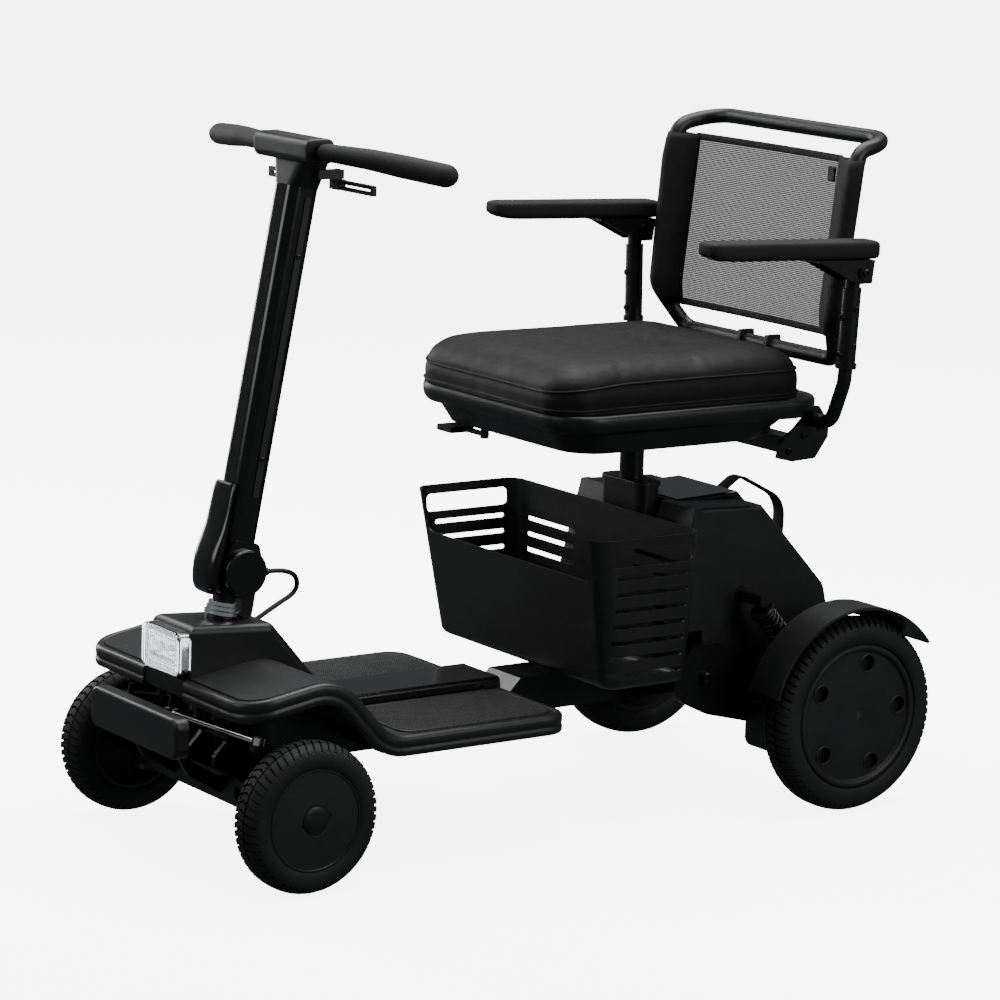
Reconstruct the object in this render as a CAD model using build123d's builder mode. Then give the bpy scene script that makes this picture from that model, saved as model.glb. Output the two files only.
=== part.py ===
from build123d import *
from math import cos, sin, radians
import os

# Four-wheeled portable mobility scooter, in millimetres. +Z is up, the scooter faces -Y and its left
# side is +X. The origin is on the floor, under the middle of its overall box.

# ---- driving dimensions ------------------------------------------------------------------------
FRONT_AXLE_Y = -450.0
FRONT_WHEEL_R = 100.5
FRONT_TYRE_W = 54.0
FRONT_WHEEL_X = 229.0        # middle plane of a front wheel
FRONT_DISC_R = 68.0

REAR_AXLE_Y = 438.0
REAR_WHEEL_R = 138.5
REAR_TYRE_W = 56.0
REAR_WHEEL_X = 247.5
REAR_DISC_R = 104.0

TILT = 10.4                  # rearward lean of the steering axis and the kingpins, degrees
HINGE_Y, HINGE_Z = -433.6, 382.0
COLUMN_TOP = 512.0           # height of the column tube's top along the steering axis from the hinge
COLUMN_W, COLUMN_D = 50.0, 47.0
KINGPIN_X = 165.0
STEER_ARM = 50.0             # length of the pitman arm and of both knuckle arms
ROD_LEVEL = -208.0           # tie rod plane, along the steering axis from the hinge

DECK_HALF_W = 213.0
DECK_FRONT_Y, DECK_REAR_Y = -532.0, -18.0
DECK_T = 27.0
DECK_SKIN = 5.0              # thickness of the deck's top between its deep rims
DECK_TOP = 183.0
COVER_HALF_W = 50.0
COVER_END_Y = -302.0
RAMP_FOOT_Y = -284.0         # where the deck's ramp has become flat

SEAT_POST_Y = 228.5
SEAT_POST_R = 17.3
SOCKET_TOP = 452.0
TRAY_RIM_Z = 580.0
CUSHION_TOP = 640.0
ARM_X = 249.0                # armrest posts
ARM_PIVOT_Y, ARM_PIVOT_Z = 409.5, 768.0
BACK_AXIS_Y, BACK_AXIS_Z = 450.0, 630.0

BASKET_FLOOR, BASKET_TOP, BASKET_FRONT_TOP = 203.0, 417.0, 356.0
BASKET_WALL = 3.0

SWING_Y, SWING_Z = 255.0, 190.0
BATTERY_HALF_W = 70.0
HOUSING_HALF_W = 134.0
CABLE_R = 3.5
CABLE_ROUTE = [(8, -376, 374), (8, -338, 374), (8, -328, 344), (8, -366, 326), (8, -397, 309)]
RUNNING = 0.05               # radial running clearance
GAP = 0.4                    # clearance between pieces that move past each other

os.makedirs("parts", exist_ok=True)

STEER = Plane(origin=(0, HINGE_Y, HINGE_Z), x_dir=(1, 0, 0),
              z_dir=(0, sin(radians(TILT)), cos(radians(TILT))))
STEER_SIDE = Plane(origin=STEER.origin, x_dir=STEER.y_dir, z_dir=(1, 0, 0))
KINGPIN = Plane(origin=(KINGPIN_X, FRONT_AXLE_Y, FRONT_WHEEL_R), x_dir=(1, 0, 0), z_dir=STEER.z_dir)
KNUCKLE_LEVEL = KINGPIN.to_local_coords(STEER.offset(ROD_LEVEL).origin).Z


# ---- helpers -----------------------------------------------------------------------------------
def side_plane(x, y=0.0, z=0.0):
    """Plane square to X whose own axes run along +Y and +Z."""
    return Plane(origin=(x, y, z), x_dir=(0, 1, 0), z_dir=(1, 0, 0))


def rod_x(x_start, x_end, y, z, radius, mode=Mode.ADD):
    """Round bar or hole along X."""
    with BuildSketch(side_plane(x_start, y, z)) as section:
        Circle(radius)
    extrude(section.sketch, amount=x_end - x_start, mode=mode)


def rod_on(plane, low, high, radius, mode=Mode.ADD, at=(0, 0)):
    """Round bar or hole along a plane's normal, between two heights above it."""
    with BuildSketch(plane.offset(low)) as section:
        with Locations(at):
            Circle(radius)
    extrude(section.sketch, amount=high - low, mode=mode)


def slab_x(points, x_start, x_end, mode=Mode.ADD, radius=0.0, plane=None):
    """Side-view outline, given as (y, z) points, carried from x_start to x_end."""
    base = side_plane(0) if plane is None else plane
    with BuildSketch(base.offset(x_start)) as section:
        with BuildLine():
            if radius:
                FilletPolyline(*points, radius=radius, close=True)
            else:
                Polyline(*points, close=True)
        make_face()
    extrude(section.sketch, amount=x_end - x_start, mode=mode)


def block(x, y, z, mode=Mode.ADD):
    """Box between (low, high) pairs along each axis."""
    centre = tuple((span[0] + span[1]) / 2 for span in (x, y, z))
    size = [span[1] - span[0] for span in (x, y, z)]
    with Locations(centre):
        Box(*size, mode=mode)


def save(builder, name):
    builder.part.label = name
    export_step(builder.part, f"parts/{name}.step")


def save_pair(left, name):
    """Write a left-hand piece and its mirror image."""
    save(left, f"{name}_left")
    with BuildPart() as right:
        mirror(left.part, about=Plane.YZ)
    save(right, f"{name}_right")


# ---- chassis -----------------------------------------------------------------------------------
def main_frame():
    """Welded spine from the head tube to the rear cross tubes, with deck outriggers and a belly pan."""
    with BuildPart() as frame:
        pan = [(-428, 112), (-428, 222), (-385, 222), (-345, 178), (-330, 160), (-330, 112)]
        slab_x(pan, -118, 118)
        under = [(-425, 100), (-425, 219), (-386.3, 219), (-347.5, 176.3), (-333, 159), (-333, 100)]
        slab_x(under, -115, 115, mode=Mode.SUBTRACT)
        spine = [(-455, 158), (-448.8, 193), (-352, 193), (-292, 150), (-20, 150), (20, 190), (330, 190),
                 (330, 140), (50, 140), (10, 118), (-300, 118), (-352, 158)]
        slab_x(spine, -38, 38)
        hollow = [(-451, 161.5), (-446, 189.5), (-353, 189.5), (-293, 146.5), (-19, 146.5), (21, 186.5),
                  (327, 186.5), (327, 143.5), (49, 143.5), (9, 121.5), (-299, 121.5), (-351, 161.5)]
        slab_x(hollow, -34.5, 34.5, mode=Mode.SUBTRACT)
        slab_x([(248, 190), (248, 262), (318, 306), (340, 306), (345, 188)], -58, 58)
        slab_x([(252, 193), (252, 259), (319, 302), (337, 302), (341, 193)], -54, 54, mode=Mode.SUBTRACT)
        for y in (-250, -70):
            block((-120, 120), (y - 12, y + 12), (136, 149.5))
        rod_x(-136, 136, SWING_Y, SWING_Z, 15)
        rod_x(-136, 136, SWING_Y, SWING_Z, 11, mode=Mode.SUBTRACT)
        for side in (-1, 1):
            rod_x(side * 54, side * 136, 329, 298, 11)
        for side in (-1, 1):
            rod_x(side * 136, side * 188, 329, 298, 9)
            rod_x(side * 120, side * 156, SWING_Y, SWING_Z, 9)
            rod_x(side * 120, side * 136, SWING_Y, SWING_Z, 13)
        for side in (-1, 1):
            slab_x([(-472.5, 95.8), (-472.5, 136), (-450, 160), (-435.5, 160), (-435.5, 95.8)], side * 28,
                   side * 36)
    save(frame, "main_frame")


def front_beam():
    """Pierced cross beam that carries the kingpins, and the two brackets of the bumper."""
    with BuildPart() as beam:
        block((-150, 150), (-478, -430), (86, 92))
        block((-150, 150), (-478, -473), (86, 124))
        block((-150, 150), (-435, -430), (86, 124))
        with Locations(Plane(origin=(0, -473, 105), x_dir=(1, 0, 0), z_dir=(0, -1, 0))):
            with Locations((-105, 0), (-60, 0), (60, 0), (105, 0)):
                Cylinder(9, 30, mode=Mode.SUBTRACT)
        for side in (-1, 1):
            plane = Plane(origin=(side * KINGPIN_X, FRONT_AXLE_Y, FRONT_WHEEL_R), x_dir=(1, 0, 0),
                          z_dir=STEER.z_dir)
            rod_on(plane, -19, 19, 17)
            block((min(side * 146, side * 160), max(side * 146, side * 160)), (-472, -432), (90, 112))
            rod_on(plane, -30, 30, 8 + RUNNING, mode=Mode.SUBTRACT)
            bracket = [(-476, 94), (-476, 116), (-520, 142), (-546, 170), (-546, 198), (-562, 198),
                       (-562, 168), (-554, 168), (-526, 124)]
            slab_x(bracket, side * 56, side * 61)
        block((-61, 61), (-566, -561), (170, 196))
        block((-36.5, 36.5), (-473, -435), (91, 95.8))
    save(beam, "front_beam")


def head_tube():
    """Tilted tube that holds the steering bearings, with its black top boss."""
    with BuildPart() as tube:
        rod_on(STEER, -194, -76, 19)
        rod_on(STEER, -76, -62, 21)
        rod_on(STEER, -200, -50, 11 + RUNNING, mode=Mode.SUBTRACT)
        fillet(tube.edges().filter_by(GeomType.CIRCLE).group_by(Axis.Z)[-1].sort_by(SortBy.RADIUS)[-1:], 2)
    save(tube, "head_tube")


def bumper_plate():
    """Rounded front plate whose rim turns back."""
    with BuildPart() as plate:
        with BuildSketch(Plane(origin=(0, -577, 188.5), x_dir=(1, 0, 0), z_dir=(0, 1, 0))):
            RectangleRounded(226, 55, 15)
        extrude(amount=20)
        fillet(plate.faces().sort_by(Axis.Y)[0].edges(), 5)
        with BuildSketch(Plane(origin=(0, -572, 188.5), x_dir=(1, 0, 0), z_dir=(0, 1, 0))):
            RectangleRounded(219, 48, 11.5)
        extrude(amount=20, mode=Mode.SUBTRACT)
        with Locations(Plane(origin=(0, -569, 183), x_dir=(1, 0, 0), z_dir=(0, 1, 0))):
            with Locations((-45, 0), (45, 0)):
                Cylinder(6, 6)
    save(plate, "bumper_plate")


def front_cover():
    """Hump over the head tube, open underneath, with a round hole for the steering boss."""
    with BuildPart() as cover:
        outer = [(-530, 227), (-530, 250.5), (-519, 253), (-519, 321), (-393, 313), (COVER_END_Y, 209),
                 (COVER_END_Y, 190), (-345, 204), (-352, 227)]
        slab_x(outer, -COVER_HALF_W, COVER_HALF_W)
        crown = cover.faces().filter_by(lambda face: face.center().Z > 250 and abs(face.normal_at().X) < 0.1)
        ridge = crown.edges().filter_by(lambda edge: edge.center().Z > 312 or edge.center().Z > 255
                                        and abs(edge.center().X) > 40 and edge.center().Y > -380)
        fillet(ridge, 11)
        inner = [(-526, 220), (-526, 247), (-515, 250), (-515, 317), (-395, 309), (COVER_END_Y - 4, 205),
                 (COVER_END_Y - 4, 180), (-340, 190)]
        slab_x(inner, 4 - COVER_HALF_W, COVER_HALF_W - 4, mode=Mode.SUBTRACT)
        rod_on(STEER, -110, -40, 21 + GAP, mode=Mode.SUBTRACT)
        entry = Plane(origin=CABLE_ROUTE[-1], z_dir=Vector(CABLE_ROUTE[-2]) - Vector(CABLE_ROUTE[-1]))
        rod_on(entry, -6, 12, CABLE_R + RUNNING, mode=Mode.SUBTRACT)
    save(cover, "front_cover")


def headlight():
    """Reflector bowl in the cover's nose, and the clear lens box in front of it."""
    with BuildPart() as housing:
        with BuildSketch(Plane(origin=(0, -520, 283), x_dir=(1, 0, 0), z_dir=(0, -1, 0))):
            RectangleRounded(96, 56, 11)
        extrude(amount=3)
        with BuildSketch(Plane(origin=(0, -523, 283), x_dir=(1, 0, 0), z_dir=(0, -1, 0))):
            RectangleRounded(88, 48, 10)
            RectangleRounded(76, 36, 7, mode=Mode.SUBTRACT)
        extrude(amount=8)
        with Locations((-18, -526, 283), (18, -526, 283)):
            Sphere(7)
    save(housing, "headlight_reflector")
    with BuildPart() as lens:
        with BuildSketch(Plane(origin=(0, -520, 283), x_dir=(1, 0, 0), z_dir=(0, -1, 0))):
            RectangleRounded(102, 60, 14)
        extrude(amount=18)
        fillet(lens.faces().sort_by(Axis.Y)[0].edges(), 4)
        with BuildSketch(Plane(origin=(0, -520, 283), x_dir=(1, 0, 0), z_dir=(0, -1, 0))):
            RectangleRounded(97, 57, 11.5)
        extrude(amount=15, mode=Mode.SUBTRACT)
    save(lens, "headlight_lens")


def deck_plan(sketch, inset):
    """Top view of the deck in the given sketch, made smaller all round by inset."""
    with Locations((0, (DECK_FRONT_Y + DECK_REAR_Y) / 2)):
        Rectangle(2 * (DECK_HALF_W - inset), DECK_REAR_Y - DECK_FRONT_Y - 2 * inset)
    corners = sketch.vertices().sort_by(Axis.Y)
    fillet(corners[:2], 46 - inset)
    fillet(corners[2:], 34 - inset)


def deck_section(plane, thickness):
    """Side view of the deck: wings, ramp and flat floor, as a band below the top line."""
    with BuildSketch(plane) as section:
        with BuildLine():
            top = FilletPolyline((DECK_FRONT_Y, 250), (-388, 273.5), (-307, DECK_TOP),
                                 (DECK_REAR_Y, DECK_TOP), radius=[80, 50])
            offset(top, amount=thickness, side=Side.RIGHT)
        make_face()
    return section.sketch


def deck():
    """Foot deck in one shell, open underneath: flat floor, ramp up and wings over the front wheels."""
    with BuildPart() as pocket:
        extrude(deck_section(side_plane(-DECK_HALF_W, 0, -DECK_SKIN), DECK_T + 4), amount=2 * DECK_HALF_W)
        with BuildSketch(Plane.XY.offset(90)) as pocket_plan:
            deck_plan(pocket_plan, 8)
        extrude(amount=260, mode=Mode.INTERSECT)
    with BuildPart() as plate:
        extrude(deck_section(side_plane(-DECK_HALF_W), DECK_T), amount=2 * DECK_HALF_W)
        with BuildSketch(Plane.XY.offset(100)) as plan:
            deck_plan(plan, 0)
        extrude(amount=250, mode=Mode.INTERSECT)
        add(pocket.part, mode=Mode.SUBTRACT)
        block((-COVER_HALF_W - GAP, COVER_HALF_W + GAP), (-600, RAMP_FOOT_Y), (100, 300),
              mode=Mode.SUBTRACT)
    save(plate, "deck")


def floor_mats():
    """Ribbed rubber mat on each side of the centre trim."""
    with BuildPart() as mats:
        for side in (-1, 1):
            with BuildSketch(Plane.XY.offset(DECK_TOP)) as pad:
                with Locations((side * 126, -158)):
                    RectangleRounded(146, 246, 22)
            extrude(pad.sketch, amount=2.5)
    save(mats, "floor_mats")


def spine_cover():
    """Raised trim along the middle of the deck, which hides the wiring."""
    with BuildPart() as trim:
        outline = [(COVER_END_Y + GAP, DECK_TOP), (COVER_END_Y + GAP, 206), (-288, 199), (-22, 199),
                   (-20, DECK_TOP)]
        slab_x(outline, -COVER_HALF_W + 3, COVER_HALF_W - 3)
        fillet(trim.edges().filter_by(Axis.Y).group_by(Axis.Z)[-1], 6)
        block((-40, 40), (-290, -30), (DECK_TOP - 1, 194), mode=Mode.SUBTRACT)
    save(trim, "spine_cover")


def seat_post_socket():
    """Upright block that clamps the seat post, with its collar."""
    with BuildPart() as socket:
        with BuildSketch(Plane.XY.offset(190)):
            with Locations((0, SEAT_POST_Y)):
                RectangleRounded(98, 38, 14)
        extrude(amount=SOCKET_TOP - 6 - 190)
        with BuildSketch(Plane.XY.offset(SOCKET_TOP - 6)):
            with Locations((0, SEAT_POST_Y)):
                RectangleRounded(103, 43, 16)
        extrude(amount=6)
        fillet(socket.faces().sort_by(Axis.Z)[-1].edges(), 2)
        rod_on(Plane(origin=(0, SEAT_POST_Y, 0)), 260, 500, SEAT_POST_R + RUNNING, mode=Mode.SUBTRACT)
        block((-34, 34), (202, 210), (330, 352))
        rod_x(-60, 60, SWING_Y, SWING_Z, 15 + RUNNING, mode=Mode.SUBTRACT)
    save(socket, "seat_post_socket")


BATTERY = [(262, 314), (262, 428), (368, 432), (490, 306), (497, 282), (474, 264), (352, 331)]


def rear_cover():
    """Housing shell over the drive electronics, with a rearward-open bay for the battery."""
    with BuildPart() as cover:
        slab_x([(252, 252), (252, 427), (362, 423), (478, 302), (488, 262), (455, 240), (380, 252)],
               -HOUSING_HALF_W, HOUSING_HALF_W)
        for side in (-1, 1):
            low_x, high_x = sorted((side * 56, side * HOUSING_HALF_W))
            slab_x([(206, 300), (240, 427), (254, 427), (254, 252), (216, 252)], low_x, high_x)
        outer_rims = cover.edges().filter_by(
            lambda edge: abs(abs(edge.center().X) - HOUSING_HALF_W) < 0.1 and edge.center().Z > 300
            and edge.center().Y > 256)
        fillet(outer_rims, 6)
        wall = BATTERY_HALF_W + 1.5
        for side in (-1, 1):
            low_x, high_x = sorted((side * (wall + 3), side * (HOUSING_HALF_W - 3)))
            slab_x([(258, 230), (258, 423), (360, 419), (474, 300), (482, 266), (452, 244), (440, 230)],
                   low_x, high_x, mode=Mode.SUBTRACT)
        slab_x([(260, 312), (260, 500), (700, 500), (700, 230), (455, 230), (352, 328)], -wall, wall,
               mode=Mode.SUBTRACT)
        slab_x([(230, 230), (230, 260), (255, 309), (351, 325), (430, 251), (430, 230)], -wall, wall,
               mode=Mode.SUBTRACT)
        for side in (-1, 1):
            low_x, high_x = sorted((side * (HOUSING_HALF_W - 3), side * HOUSING_HALF_W))
            slab_x([(262, 168), (262, 262), (440, 262), (452, 242), (430, 168)], low_x, high_x)
        rod_x(-150, 150, SWING_Y, SWING_Z, 15 + GAP, mode=Mode.SUBTRACT)
        rod_x(-150, 150, 329, 298, 11 + GAP, mode=Mode.SUBTRACT)
    save(cover, "rear_cover")


def battery():
    """Lift-out battery case and the carrying strap over its sloping back."""
    with BuildPart() as pack:
        slab_x(BATTERY, -BATTERY_HALF_W, BATTERY_HALF_W)
        fillet(pack.edges().filter_by(Axis.X).group_by(Axis.Z)[-1], 8)
        fillet(pack.edges().filter_by(lambda edge: abs(abs(edge.center().X) - BATTERY_HALF_W) < 0.1
                                      and edge.center().Z > 310 and edge.center().Y > 300), 5)
    save(pack, "battery_pack")
    with BuildPart() as strap:
        with BuildLine() as route:
            FilletPolyline((0, 384, 416), (0, 420, 440), (0, 502, 398), (0, 500, 316), (0, 484, 313.5),
                           radius=[20, 40, 12])
        with BuildSketch(Plane(origin=(0, 384, 416), z_dir=route.line % 0, x_dir=(1, 0, 0))):
            Rectangle(24, 3)
        sweep()
    save(strap, "battery_strap")


# ---- steering ----------------------------------------------------------------------------------
def steering_parts():
    """Steering shaft with its pitman arm, chrome lock rings and the foot of the folding hinge."""
    with BuildPart() as shaft:
        rod_on(STEER, -216, -40, 11)
        rod_on(STEER, ROD_LEVEL - 4, ROD_LEVEL + 4, 17)
        with BuildSketch(STEER.offset(ROD_LEVEL - 4)):
            with Locations((0, -STEER_ARM / 2)):
                Rectangle(20, STEER_ARM)
            with Locations((0, -STEER_ARM)):
                Circle(10)
        extrude(amount=8)
        rod_on(STEER, ROD_LEVEL - 16, ROD_LEVEL + 16, 4, at=(0, -STEER_ARM))
    save(shaft, "steering_shaft")
    with BuildPart() as rings:
        for low, high, radius in ((-61.5, -56.5, 23), (-55.5, -50.5, 21), (-49.5, -44.5, 19.5)):
            rod_on(STEER, low, high, radius)
            rod_on(STEER, low, high, 11, mode=Mode.SUBTRACT)
    save(rings, "lock_rings")
    with BuildPart() as foot:
        rod_on(STEER, -44, -28, 15)
        slab_x([(-16, -34), (-26, 0), (-8, 26), (18, 26), (32, 0), (20, -34)], -15, 15, plane=STEER_SIDE,
               radius=7)
        slab_x([(24, -62), (24, -10), (40, -10), (40, -62)], -13, 13, plane=STEER_SIDE, radius=5)
        slab_x([(14, -38), (14, -26), (30, -26), (30, -38)], -12, 12, plane=STEER_SIDE)
        rod_on(Plane(origin=CABLE_ROUTE[0], z_dir=(0, -1, 0)), 2.6, 28, CABLE_R + 2)
        rod_on(STEER, -45, -30, 11, mode=Mode.SUBTRACT)
        with BuildSketch(STEER_SIDE.offset(-40)) as bore:
            with Locations((6, 0)):
                Circle(7 + RUNNING)
        extrude(bore.sketch, amount=80, mode=Mode.SUBTRACT)
    save(foot, "hinge_foot")


def column():
    """Folding column with its fork ears and hinge pin."""
    with BuildPart() as tube:
        with BuildSketch(STEER.offset(34)) as section:
            RectangleRounded(COLUMN_W, COLUMN_D, 15)
        extrude(amount=COLUMN_TOP - 34)
        for side in (-1, 1):
            slab_x([(-20, 40), (-24, 0), (-10, -27), (22, -27), (38, 0), (22, 40)], side * 15.5, side * 29,
                   plane=STEER_SIDE, radius=9)
        with BuildSketch(STEER_SIDE.offset(-29)) as pin:
            with Locations((6, 0)):
                Circle(7)
        extrude(pin.sketch, amount=58)
        with BuildSketch(STEER.offset(60)) as hollow:
            RectangleRounded(COLUMN_W - 6, COLUMN_D - 6, 12)
        extrude(hollow.sketch, amount=COLUMN_TOP - 80, mode=Mode.SUBTRACT)
    save(tube, "column_tube")
    with BuildPart() as strips:
        for side in (-1, 1):
            with BuildSketch(STEER_SIDE.offset(side * COLUMN_W / 2)) as strip:
                with Locations((4.5, 300)):
                    RectangleRounded(9, 400, 2)
            extrude(strip.sketch, amount=side * 1.6)
    save(strips, "column_strips")
    with BuildPart() as covers:
        for side in (-1, 1):
            with BuildSketch(STEER_SIDE.offset(side * 29)) as disc:
                with Locations((6, 0)):
                    Circle(31.5)
            extrude(disc.sketch, amount=side * 8)
        fillet(covers.edges().filter_by(lambda edge: abs(edge.center().X) > 36), 3)
    save(covers, "hinge_covers")
    with BuildPart() as latch:
        slab_x([(-25, 112), (-28.5, 112), (-31, 84), (-33, 44), (-31, 30), (-25, 30)], -17, 17,
               plane=STEER_SIDE, radius=1)
        with BuildSketch(STEER_SIDE.offset(-17)) as knuckle_end:
            with Locations((-28.5, 111)):
                Circle(3)
        extrude(knuckle_end.sketch, amount=34)
    save(latch, "fold_latch")


def tiller_head():
    """Clamp console on top of the column, with a flared neck."""
    with BuildPart() as head:
        with BuildSketch(STEER.offset(COLUMN_TOP)):
            RectangleRounded(COLUMN_W, COLUMN_D, 14)
        with BuildSketch(STEER.offset(COLUMN_TOP + 36)):
            RectangleRounded(82, 44, 14)
        loft()
        with BuildSketch(side_plane(-66, -347, 937)):
            RectangleRounded(44, 33, 11)
        extrude(amount=132)
        fillet(head.faces().filter_by(Axis.X).edges(), 3)
        for side in (-1, 1):
            root = Vector(side * BAR_START.X, BAR_START.Y, BAR_START.Z)
            ahead = Vector(side * GRIP_ROUTE[0][0], *GRIP_ROUTE[0][1:])
            rod_on(Plane(origin=root, z_dir=ahead - root), -0.5, 30, 10 + RUNNING, mode=Mode.SUBTRACT)
            block((min(side * 30, side * 44), max(side * 30, side * 44)), (-335, -296), (898, 910))
            rod_on(Plane(origin=(side * 37, -303, 0)), 895, 913, 3, mode=Mode.SUBTRACT)
    save(head, "tiller_head")


GRIP_ROUTE = [(71, -344.2, 936.9), (150, -328, 935.5), (276, -292, 926)]
BAR_START = Vector(GRIP_ROUTE[0]) - (Vector(GRIP_ROUTE[1]) - Vector(GRIP_ROUTE[0])).normalized() * 22


def handlebar():
    """Swept-back bar in two halves of one tube, and the padded grips over it."""
    with BuildPart() as bar:
        for side in (-1, 1):
            route = [(side * x, y, z) for x, y, z in (BAR_START, *GRIP_ROUTE[1:])]
            with BuildLine() as path:
                FilletPolyline(*route, radius=120)
            with BuildSketch(Plane(origin=path.line @ 0, z_dir=path.line % 0)) as tube:
                Circle(10)
            sweep(tube.sketch, path.line)
    save(bar, "handlebar")
    with BuildPart() as grip:
        with BuildLine() as path:
            FilletPolyline(*GRIP_ROUTE, radius=120)
        with BuildSketch(Plane(origin=path.line @ 0, z_dir=path.line % 0,
                               x_dir=(0, 1, 0))) as tube:
            Ellipse(17.5, 15)
        sweep(tube.sketch, path.line)
        end = path.line @ 1
        with Locations(end):
            Sphere(14)
        with BuildSketch(Plane(origin=path.line @ 0, z_dir=path.line % 0)) as bore:
            Circle(10.02)
        sweep(bore.sketch, path.line, mode=Mode.SUBTRACT)
    save_pair(grip, "grip")


def hand_levers():
    """Looped drive lever under the left grip, and its plain match under the right one."""
    with BuildPart() as loop:
        block((28, 128), (-306, -300), (884, 889))
        block((122, 128), (-306, -300), (884, 897.5))
        block((45, 128), (-306, -300), (892.5, 897.5))
        block((28, 50), (-309, -297), (884, 897.5))
        rod_on(Plane(origin=(37, -303, 0)), 890, 911, 3 - RUNNING)
    save_pair(loop, "hand_lever")


# ---- front wheels ------------------------------------------------------------------------------
def knuckle():
    """Left steering knuckle: clevis on the kingpin, stub axle and steering arm."""
    with BuildPart() as part:
        rod_on(KINGPIN, -29, KNUCKLE_LEVEL + 12, 8)
        for low in (-29, 20.5):
            with BuildSketch(KINGPIN.offset(low)) as cheek:
                Circle(16)
                with Locations((12, 0)):
                    Rectangle(24, 28)
            extrude(cheek.sketch, amount=8.5)
        with BuildSketch(KINGPIN.offset(-29)) as web:
            with Locations((22, 0)):
                Rectangle(8, 30)
        extrude(web.sketch, amount=58)
        with BuildSketch(KINGPIN.offset(29)) as riser:
            Circle(13)
        extrude(riser.sketch, amount=KNUCKLE_LEVEL - 29 + 4)
        with BuildSketch(KINGPIN.offset(KNUCKLE_LEVEL - 4)) as arm:
            with Locations((0, -STEER_ARM / 2)):
                Rectangle(18, STEER_ARM)
            with Locations((0, -STEER_ARM)):
                Circle(10)
        extrude(arm.sketch, amount=8)
        rod_on(KINGPIN, KNUCKLE_LEVEL - 4, KNUCKLE_LEVEL + 16, 4, at=(0, -STEER_ARM))
        rod_x(KINGPIN_X + 20, 248, FRONT_AXLE_Y, FRONT_WHEEL_R, 8)
        rod_x(KINGPIN_X + 20, 205, FRONT_AXLE_Y, FRONT_WHEEL_R, 13)
    save_pair(part, "knuckle")


def tie_rods():
    """Left rod, above the pitman arm, and right rod, below it, each with two ball ends."""
    for side, name in ((1, "tie_rod_left"), (-1, "tie_rod_right")):
        level = ROD_LEVEL + side * 10
        plane = STEER.offset(level)
        inner = plane.from_local_coords((0, -STEER_ARM, 0))
        knuckle_axis = plane.to_local_coords(Vector(side * KINGPIN_X, FRONT_AXLE_Y, FRONT_WHEEL_R))
        outer = plane.from_local_coords((side * KINGPIN_X, knuckle_axis.Y - STEER_ARM, 0))
        along = (outer - inner).normalized()
        with BuildPart() as rod:
            for centre in (inner, outer):
                rod_on(Plane(origin=centre, x_dir=(1, 0, 0), z_dir=STEER.z_dir), -5, 5, 9)
            shank = Plane(origin=inner + along * 7, x_dir=STEER.z_dir, z_dir=along)
            length = (outer - inner).length - 14
            rod_on(shank, 0, length, 3.5)
            rod_on(shank, length - 46, length - 0.6, 4.7)
            rod_on(shank, 0.6, 16, 4.7)
            for centre in (inner, outer):
                rod_on(Plane(origin=centre, x_dir=(1, 0, 0), z_dir=STEER.z_dir), -8, 8, 4 + RUNNING,
                       mode=Mode.SUBTRACT)
        save(rod, name)


def tyre_outline(inner_r, outer_r, width, middle_x):
    """Half section of a tyre, as (x, r) points on its middle plane."""
    half = width / 2
    return [(middle_x - half + 5, inner_r), (middle_x - half, inner_r + 8),
            (middle_x - half, outer_r - 14), (middle_x - half + 11, outer_r - 1.5),
            (middle_x, outer_r), (middle_x + half - 11, outer_r - 1.5),
            (middle_x + half, outer_r - 14), (middle_x + half, inner_r + 8),
            (middle_x + half - 5, inner_r)]


def spin_x(points, axle_y, axle_z):
    """Ring of revolution about a wheel's axle from an (x, r) outline."""
    axle_plane = Plane(origin=(0, axle_y, axle_z), x_dir=(1, 0, 0), z_dir=(0, -1, 0))
    with BuildSketch(axle_plane) as section:
        with BuildLine():
            Polyline(*points, close=True)
        make_face()
    revolve(section.sketch, Axis((0, axle_y, axle_z), (1, 0, 0)), 360)


def front_wheel():
    """Left front tyre and its covered disc with a notched centre cap."""
    x = FRONT_WHEEL_X
    with BuildPart() as tyre:
        spin_x(tyre_outline(FRONT_DISC_R, FRONT_WHEEL_R, FRONT_TYRE_W, x), FRONT_AXLE_Y, FRONT_WHEEL_R)
    save_pair(tyre, "front_tyre")
    with BuildPart() as disc:
        spin_x([(x - 21, 62), (x - 21, FRONT_DISC_R), (x + 21, FRONT_DISC_R), (x + 23, FRONT_DISC_R - 2),
                (x + 24, 22), (x + 22, 0), (x + 18, 0), (x + 18, 62)], FRONT_AXLE_Y, FRONT_WHEEL_R)
        rod_x(x - 20, x + 19, FRONT_AXLE_Y, FRONT_WHEEL_R, 18)
        rod_x(x - 25, x + 19.4, FRONT_AXLE_Y, FRONT_WHEEL_R, 8 + RUNNING, mode=Mode.SUBTRACT)
        with Locations(side_plane(x + 25, FRONT_AXLE_Y, FRONT_WHEEL_R)):
            with PolarLocations(22, 2, start_angle=15):
                Cylinder(2.6, 5, mode=Mode.SUBTRACT)
    save_pair(disc, "front_wheel_disc")


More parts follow.
